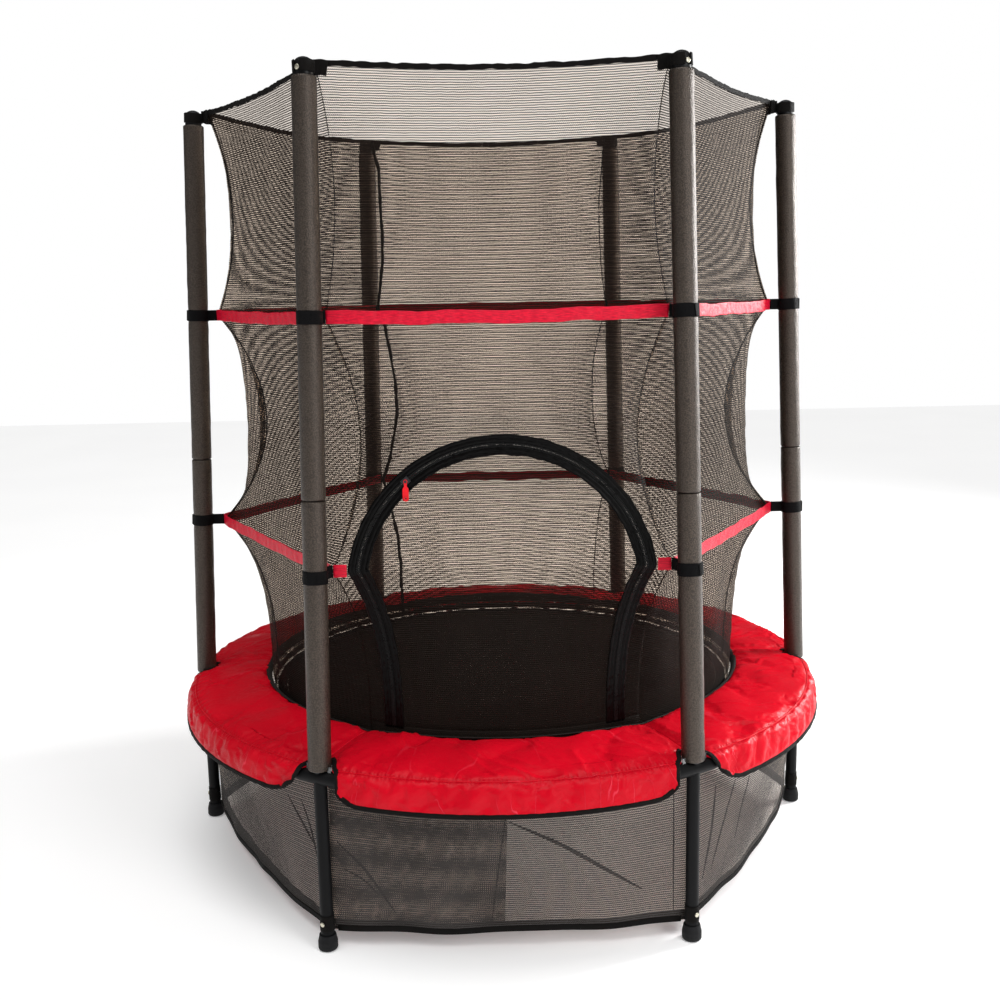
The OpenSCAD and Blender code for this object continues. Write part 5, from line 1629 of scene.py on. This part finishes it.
class TRAMPOLINE_OT_straps(bpy.types.Operator):
    """Red ribbons round the net and the elastic loops that tie it to the poles"""

    bl_idname = "trampoline.straps"
    bl_label = "Straps and loops"

    def execute(self, context):
        for side, name in enumerate(SIDE_NAMES):
            shell = strap_shell(
                side, UPPER_CORNER_R, UPPER_STRAP_Z, 3, UPPER_CORNER_R - 3, 400 + 10 * side
            )
            add_piece(
                f"upper_ribbon_{name}", shell, finish("strap_red"), "frame",
                ["upper_strap"]
            )
            end = LOWER_CORNER_R - 3
            shells = [strap_shell(side, LOWER_CORNER_R, LOWER_STRAP_Z, 3, end, 500 + 10 * side)]
            if side == FRONT:
                zip_edge = math.sqrt(
                    (ARCH_R + TAPE_W + 3.5) ** 2 - (LOWER_STRAP_Z + 12.5 - ARCH_Z) ** 2
                )
                stub = LOWER_CORNER_R / 2 - zip_edge
                shells = [
                    strap_shell(side, LOWER_CORNER_R, LOWER_STRAP_Z, 3, stub, 541),
                    strap_shell(
                        side, LOWER_CORNER_R, LOWER_STRAP_Z, LOWER_CORNER_R - stub, end, 542
                    ),
                ]
            add_piece(
                f"lower_ribbon_{name}", shells, finish("strap_red"), "frame",
                ["lower_strap"]
            )
        for corner, c in enumerate(CORNERS):
            for tier, z, corner_r in (
                ("upper", UPPER_STRAP_Z, UPPER_CORNER_R), ("lower", LOWER_STRAP_Z, LOWER_CORNER_R)
            ):
                shells = self.loop(corner, z, corner_r, 600 + corner)
                add_piece(
                    f"pole_loop_{tier}_{c}", shells, finish("webbing_black"), "frame",
                    ["pole_loops"]
                )
        return {"FINISHED"}

    def loop(self, corner, z, corner_r, seed):
        """Elastic round the foam, its sewn overlap, its tab to the net and its two sewn ends."""
        s = loop_s(z)
        turn = corner_angle(corner)
        a = np.linspace(0, math.tau, 48, endpoint=False)
        inner = FOAM_R - LOOP_SINK + 0.35
        sag = 0.7 * np.sin(a + seed) + 0.4 * swell(a * 30, 0 * a, 60, seed)
        ring = on_pole(corner, inner * np.cos(a), inner * np.sin(a), s + sag)
        shells = [
            sweep_shell(ring, ring - on_pole(corner, 0.0, 0.0, s), band_section(24, 1.9, 6), True)
        ]
        axis_r = pole_axis_r(z)
        line = np.linspace([corner_r + 1.2, 0, z], [axis_r - FOAM_R + 0.2, 0, z], 10)
        side_way = heading(turn, (0.0, 1.0, 0.0))
        shells.append(
            sweep_shell(turned(line, turn), side_way, band_section(23, 2.2, 6) - (0, 1.1))
        )
        for way in (-1, 1):
            along = heading(math.radians(way * 120))
            line = np.array([corner_r + 2.4, 0, z]) + along * np.linspace(-2, 3.5, 5)[:, None]
            out = heading(math.radians(way * 30))
            section = band_section(22.5, 1.7, 5) + (0, 0.4)
            shells.append(sweep_shell(turned(line, turn), turned(out, turn), section))
        lap = np.linspace(-0.42, 0.36, 12) + 0.5 * math.sin(seed)
        over = on_pole(
            corner, (inner + 1.8) * np.cos(lap), (inner + 1.8) * np.sin(lap),
            s + 0.8 * np.sin(3 * lap)
        )
        shells.append(
            sweep_shell(over, over - on_pole(corner, 0.0, 0.0, s), band_section(22.5, 1.6, 6))
        )
        return shells


# ---- The door ----


def tape_y(x, z):
    """Back of a zip tape: clear of the net, and of its fold at the lower strap."""
    return np.minimum(np.minimum(front_y(x, z - 4), front_y(x, z)), front_y(x, z + 4)) - 0.6


TAPE_POINTS = 360
TAPE_ACROSS = [0.5, 2.2, 4.2, 5.0, 6.2, 8.0, 10.0, 11.4, 12.4, 13.8, 15.6, 17.2, 18.3, 18.7]
TAPE_HEIGHT = [1.2, 1.3, 1.3, 0.9, 1.5, 1.9, 2.0, 1.6, 1.1, 1.9, 2.6, 2.4, 1.5, 0.5]


def zip_rows(side, heights, across, line):
    """Rows of points beside the zip's middle line, at distances across it and heights over it."""
    way = unit(np.gradient(line, axis=0))
    normal = np.stack([-way[:, 1], way[:, 0]], axis=1) * side
    x = line[:, 0:1] + normal[:, 0:1] * across
    z = np.maximum(SILL_Z - 3.4, line[:, 1:2] + normal[:, 1:2] * across)
    return np.stack([x, tape_y(x, z) - heights, z], axis=-1)


def tape_shell(side, seed):
    """One tape: a back, and a face with long ridges and grooves and small puckers."""
    line = resample(zip_line(60, 240), TAPE_POINTS)
    s = np.arange(TAPE_POINTS)[:, None] * 4.0
    across = np.array(TAPE_ACROSS)[None] + 0 * s
    puckers = crease(s + across, 0.5 * s, 23, seed) + 0.4 * swell(s, 5 * across, 24, seed + 1)
    ease = np.clip((across - 7.2) / 2, 0, 1)
    heights = np.array(TAPE_HEIGHT)[None] + ease * 0.7 * puckers
    edge = np.clip((across - 17) / 1.5, 0, 1)
    across = across + edge * 0.7 * swell(s, 0 * s, 31, seed + 2)
    face = zip_rows(side, heights, across, line)
    back_across = np.linspace(18.2, 0.6, 6)[None] + 0 * s
    back = zip_rows(side, 0 * back_across, back_across, line)
    rows = np.concatenate([face, back], axis=1)
    girth = np.arange(rows.shape[1]) * 1.4
    uv = np.stack(np.meshgrid(girth, s[:, 0]), axis=-1)
    return add_caps(grid_shell(rows, uv, wrap=True, flip=side > 0), rows.shape[1], side > 0)


def teeth_shell(side, pitch):
    """A row of small rounded teeth on one tape."""
    line = resample(zip_line(60, 240), 400)
    total = np.linalg.norm(np.diff(line, axis=0), axis=1).sum()
    count = int(total / pitch)
    mids = (np.arange(count) + (0.5 if side > 0 else 1.0)) * pitch
    mids = mids[mids < total - 2]
    lengths = np.linspace(0, total, 400)
    centre = np.stack([np.interp(mids, lengths, line[:, k]) for k in range(2)], axis=1)
    way = unit(
        np.stack([np.interp(mids, lengths, np.gradient(line[:, k])) for k in range(2)], axis=1)
    )
    normal = np.stack([-way[:, 1], way[:, 0]], axis=1) * side
    half = 0.34 * pitch
    tip = 0.7 * half
    shape = [(-half, 0.5, 1.35), (half, 0.5, 1.35), (half, 3.7, 1.35), (-half, 3.7, 1.35)]
    shape += [(-tip, -0.3, 2.7), (tip, -0.3, 2.7), (tip, 3.3, 3.0), (-tip, 3.3, 3.0)]
    points = []
    for along, across, height in shape:
        xz = centre + way * along + normal * across
        xz[:, 1] = np.maximum(xz[:, 1], SILL_Z + 0.6)
        points.append(np.stack([xz[:, 0], tape_y(xz[:, 0], xz[:, 1]) - height, xz[:, 1]], axis=1))
    points = np.stack(points, axis=1).reshape(-1, 3)
    box = [[0, 1, 2, 3], [7, 6, 5, 4], [0, 4, 5, 1], [1, 5, 6, 2], [2, 6, 7, 3], [3, 7, 4, 0]]
    if side > 0:
        box = [f[::-1] for f in box]
    faces = [[8 * k + v for v in f] for k in range(len(mids)) for f in box]
    return points, faces, np.zeros((4 * len(faces), 2))


class TRAMPOLINE_OT_door(bpy.types.Operator):
    """Door net, the two satin tapes of the zip and their teeth"""

    bl_idname = "trampoline.door"
    bl_label = "Door and zip"

    def execute(self, context):
        a = np.linspace(KNEE, math.radians(88), 40)[1:]
        z = np.concatenate(
            [np.linspace(SILL_Z, LOWER_STRAP_Z, 33), ARCH_Z + (ARCH_R - 0.5) * np.sin(a)]
        )
        w = np.concatenate([arch_leg_w(z[:33]) - 0.5, (ARCH_R - 0.5) * np.cos(a)])
        x = w[:, None] * np.linspace(-1, 1, 45)[None]
        flat = np.stack([x, z[:, None] + 0 * x], axis=-1)
        y = front_y(flat[..., 0], flat[..., 1]) + NET_INSET
        shell = net_shell(np.stack([x, y, flat[..., 1]], axis=-1), flat)
        door = add_piece(
            "door_net_flap", shell, finish("net_black"), "door", ["door_net"]
        )
        pitch = context.scene.trampoline_sizes.tooth_pitch / MM
        for side, part, body in ((1, "frame", "frame"), (-1, "flap", "door")):
            tape = add_piece(
                f"zip_tape_{part}", tape_shell(side, 700 + side), finish("tape_black"), body,
                [f"zip_{part}_tape"]
            )
            teeth = add_piece(
                f"zip_teeth_{part}", teeth_shell(side, pitch), finish("zip_nylon"), body,
                smooth=False
            )
        return {"FINISHED"}


# ---- The skirt ----

SKIRT_TUCKS = [
    (4, 8, [(0.0, 0.79), (0.28, 0.61), (0.5, 0.44), (0.75, 0.24)]),
    (4, 3, [(-0.01, 0.86), (-0.05, 0.53), (-0.11, 0.03)]),
    (4, 6, [(-0.95, 0.58), (-0.81, 0.43), (-0.72, 0.27), (-0.65, 0.12)]),
    (4, 4, [(-0.93, 0.41), (-0.82, 0.35), (-0.73, 0.24)]),
    (4, 3, [(0.91, 0.95), (0.92, 0.48), (0.93, 0.04)]),
    (3, 6, [(0.7, 0.79), (0.79, 0.65), (0.9, 0.49)]),
    (3, 5, [(0.81, 0.79), (0.86, 0.64), (0.91, 0.37)]),
    (5, 7, [(-0.78, 0.8), (-0.8, 0.44), (-0.85, 0.19)]),
    (5, 6, [(-0.6, 0.78), (-0.69, 0.46), (-0.76, 0.21)]),
    (5, 5, [(-0.44, 0.75), (-0.49, 0.52), (-0.5, 0.31)]),
    (0, 6, [(-0.8, 0.8), (-0.5, 0.5), (-0.3, 0.2)]), (0, 4, [(0.6, 0.7), (0.75, 0.4), (0.9, 0.2)]),
    (1, 7, [(0.1, 0.8), (-0.3, 0.55), (-0.8, 0.25)]), (1, 4, [(0.5, 0.7), (0.72, 0.3)]),
    (2, 6, [(0.8, 0.75), (0.5, 0.5), (0.2, 0.15)]), (2, 4, [(-0.7, 0.7), (-0.85, 0.3)]),
]


class TRAMPOLINE_OT_skirt(bpy.types.Operator):
    """Skirt net with its hem, its folds, its second front layer and the leg sleeves"""

    bl_idname = "trampoline.skirt"
    bl_label = "Skirt"

    def execute(self, context):
        phi = side_span(61)[None]
        t = np.linspace(0, 1, 31)[:, None]
        for side, name in enumerate(SIDE_NAMES):
            r, z = self.draped(side, phi, t)
            uv = np.stack([r * np.sin(phi), 290 * t + 0 * phi], axis=-1)
            shell = net_shell(on_side(side, r, phi, z), uv)
            skirt = add_piece(
                f"skirt_{name}", shell, finish("skirt_black"), "frame", ["skirt_net"]
            )
            inner = phi[0, 1:-1]
            z = skirt_hem_z(inner) + 4
            share = (z - skirt_hem_z(inner)) / (SKIRT_TOP_Z - skirt_hem_z(inner))
            edge = np.clip((HALF_SIDE - np.abs(inner)) * 20, 0, 1)
            drape = 0.7 * swell(WAVE_R * inner, 0.3 * z, 90, 800 + side)
            line = on_side(side, skirt_r(inner, share) + 0.5 + 0.9 * edge * drape, inner, z)
            out = outwards(side, inner)
            hem = add_piece(
                f"skirt_hem_{name}", sweep_shell(line, out, band_section(11.5, 1.5, 4)),
                finish("binding_black"), "frame",
                ["skirt_hem"],
            )
            shells = [
                self.tuck(side, width, points) for at, width, points in SKIRT_TUCKS if at == side
            ]
            tucks = add_piece(
                f"skirt_tucks_{name}", shells, finish("net_doubled"), "frame"
            )
            pieces = [hem, self.turned_up(side, name), tucks]
        second = HALF_SIDE * (np.linspace(-0.985, 0, 31)[None] - 0.03 * (1 - t))
        rows = self.inside(FRONT, second, 0.03 + 0.94 * t, KNIT_T + 2.6)
        shell = net_shell(rows, np.stack(np.broadcast_arrays(WAVE_R * second, 290 * t), axis=-1))
        overlap = add_piece(
            "skirt_overlap_front", shell, finish("skirt_black"), "frame"
        )
        for corner, c in enumerate(CORNERS):
            a = np.linspace(0, math.tau, 40, endpoint=False)
            turn = corner_angle(corner)
            z = np.linspace(SKIRT_CORNER_Z - 12, SKIRT_CORNER_Z + 20, 7)
            wall = [(TUBE_R + 1.1 + 0.25 * math.sin(k), h) for k, h in enumerate(z)]
            inner_r = TUBE_R + 0.45
            profile = np.array([(inner_r, z[0] + 0.5)] + wall + [(inner_r, z[-1] - 0.5)])
            rows = np.stack([
                LEG_CIRCLE_R + profile[None, :, 0] * np.cos(a)[:, None],
                profile[None, :, 0] * np.sin(a)[:, None],
                profile[None, :, 1] + 0 * a[:, None],
            ], axis=-1)
            shell = grid_shell(turned(rows, turn), wrap=True, wrap_rows=True, flip=True)
            add_piece(
                f"leg_sleeve_{c}", shell, finish("binding_black"), "frame",
                ["skirt_patches"]
            )
        return {"FINISHED"}

    def draped(self, side, phi, t):
        """Radius and height of the skirt at an angle and at t of its height."""
        hem_z = skirt_hem_z(phi)
        z = hem_z + (SKIRT_TOP_Z - hem_z) * t
        slack = (1 - t) ** 1.5 * (1 - (phi / HALF_SIDE) ** 8)
        wide = 0.7 * swell(WAVE_R * phi, 0.3 * z, 90, 800 + side)
        drape = wide + 1.3 * swell(WAVE_R * phi, z, 34, 820 + side) * t
        return skirt_r(phi, t) - NET_INSET + slack * drape, z

    def inside(self, side, phi, t, gap):
        """Points just inside the skirt at an angle and at t of its height."""
        r, z = self.draped(side, phi, t)
        return on_side(side, r - gap, phi, z)

    def turned_up(self, side, name):
        """Net turned up inside the hem, deep at one end where the panel was cut too long."""
        phi = side_span(61)[None]
        depth = 20.0 + (58.0 * (0.5 - 0.5 * phi / HALF_SIDE) if side == 3 else 0.0)
        t = np.linspace(0, 1, 6)[:, None] * depth / 300
        rows = self.inside(side, phi, t, KNIT_T + 1.0)
        uv = np.stack(np.broadcast_arrays(WAVE_R * phi, 300 * t + 1.3), axis=-1)
        look = "binding_black" if side == 3 else "net_doubled"
        return add_piece(
            f"skirt_turn_up_{name}", net_shell(rows, uv), finish(look), "frame"
        )

    def tuck(self, side, width, points):
        """A pressed fold: doubled net through places given as shares of side and height."""
        line = smooth_line(np.array(points) * (350, 300), 40)
        way = unit(np.gradient(line, axis=0))
        taper = np.sin(math.pi * np.linspace(0.04, 0.96, 40)) ** 0.6 if width < 10 else np.ones(40)
        across = width / 2 * taper[:, None] * np.linspace(-1, 1, 5)[None]
        x = line[:, 0:1] - way[:, 1:2] * across
        y = np.clip(line[:, 1:2] + way[:, 0:1] * across, 2, 298)
        ridge = np.array([0, 0.8, 1.2, 0.8, 0])[None]
        rows = self.inside(side, x / 350 * HALF_SIDE, y / 300, KNIT_T + 0.8 + ridge)
        return net_shell(rows, np.stack([x, y + 2.1], axis=-1))


STEPS = (
    "stage", "hard_parts", "foam", "mat", "springs", "pad", "pad_binding", "net", "net_trim",
    "straps", "door", "skirt"
)


class TRAMPOLINE_PT_panel(bpy.types.Panel):
    """Pieces of the trampoline and their sizes and colours"""

    bl_idname = "TRAMPOLINE_PT_panel"
    bl_label = "Trampoline"
    bl_space_type = "VIEW_3D"
    bl_region_type = "UI"
    bl_category = "Trampoline"

    def draw(self, context):
        for step in STEPS:
            self.layout.operator(f"trampoline.{step}")
        for group in (context.scene.trampoline_sizes, context.scene.trampoline_look):
            for name in group.__annotations__:
                self.layout.prop(group, name)


CLASSES = (
    TrampolineSizes,
    TrampolineLook,
    TRAMPOLINE_OT_stage,
    TRAMPOLINE_OT_hard_parts,
    TRAMPOLINE_OT_foam,
    TRAMPOLINE_OT_mat,
    TRAMPOLINE_OT_springs,
    TRAMPOLINE_OT_pad,
    TRAMPOLINE_OT_pad_binding,
    TRAMPOLINE_OT_net,
    TRAMPOLINE_OT_net_trim,
    TRAMPOLINE_OT_straps,
    TRAMPOLINE_OT_door,
    TRAMPOLINE_OT_skirt,
    TRAMPOLINE_PT_panel,
)


def register():
    """Registers the classes and the two groups of settings."""
    for cls in CLASSES:
        bpy.utils.register_class(cls)
    bpy.types.Scene.trampoline_sizes = PointerProperty(type=TrampolineSizes)
    bpy.types.Scene.trampoline_look = PointerProperty(type=TrampolineLook)


def unregister():
    """Takes the settings and the classes away again."""
    del bpy.types.Scene.trampoline_look
    del bpy.types.Scene.trampoline_sizes
    for cls in reversed(CLASSES):
        bpy.utils.unregister_class(cls)


def main():
    """Builds every piece in order."""
    register()
    for step in STEPS:
        getattr(bpy.ops.trampoline, step)()


if __name__ == "__main__":
    main()
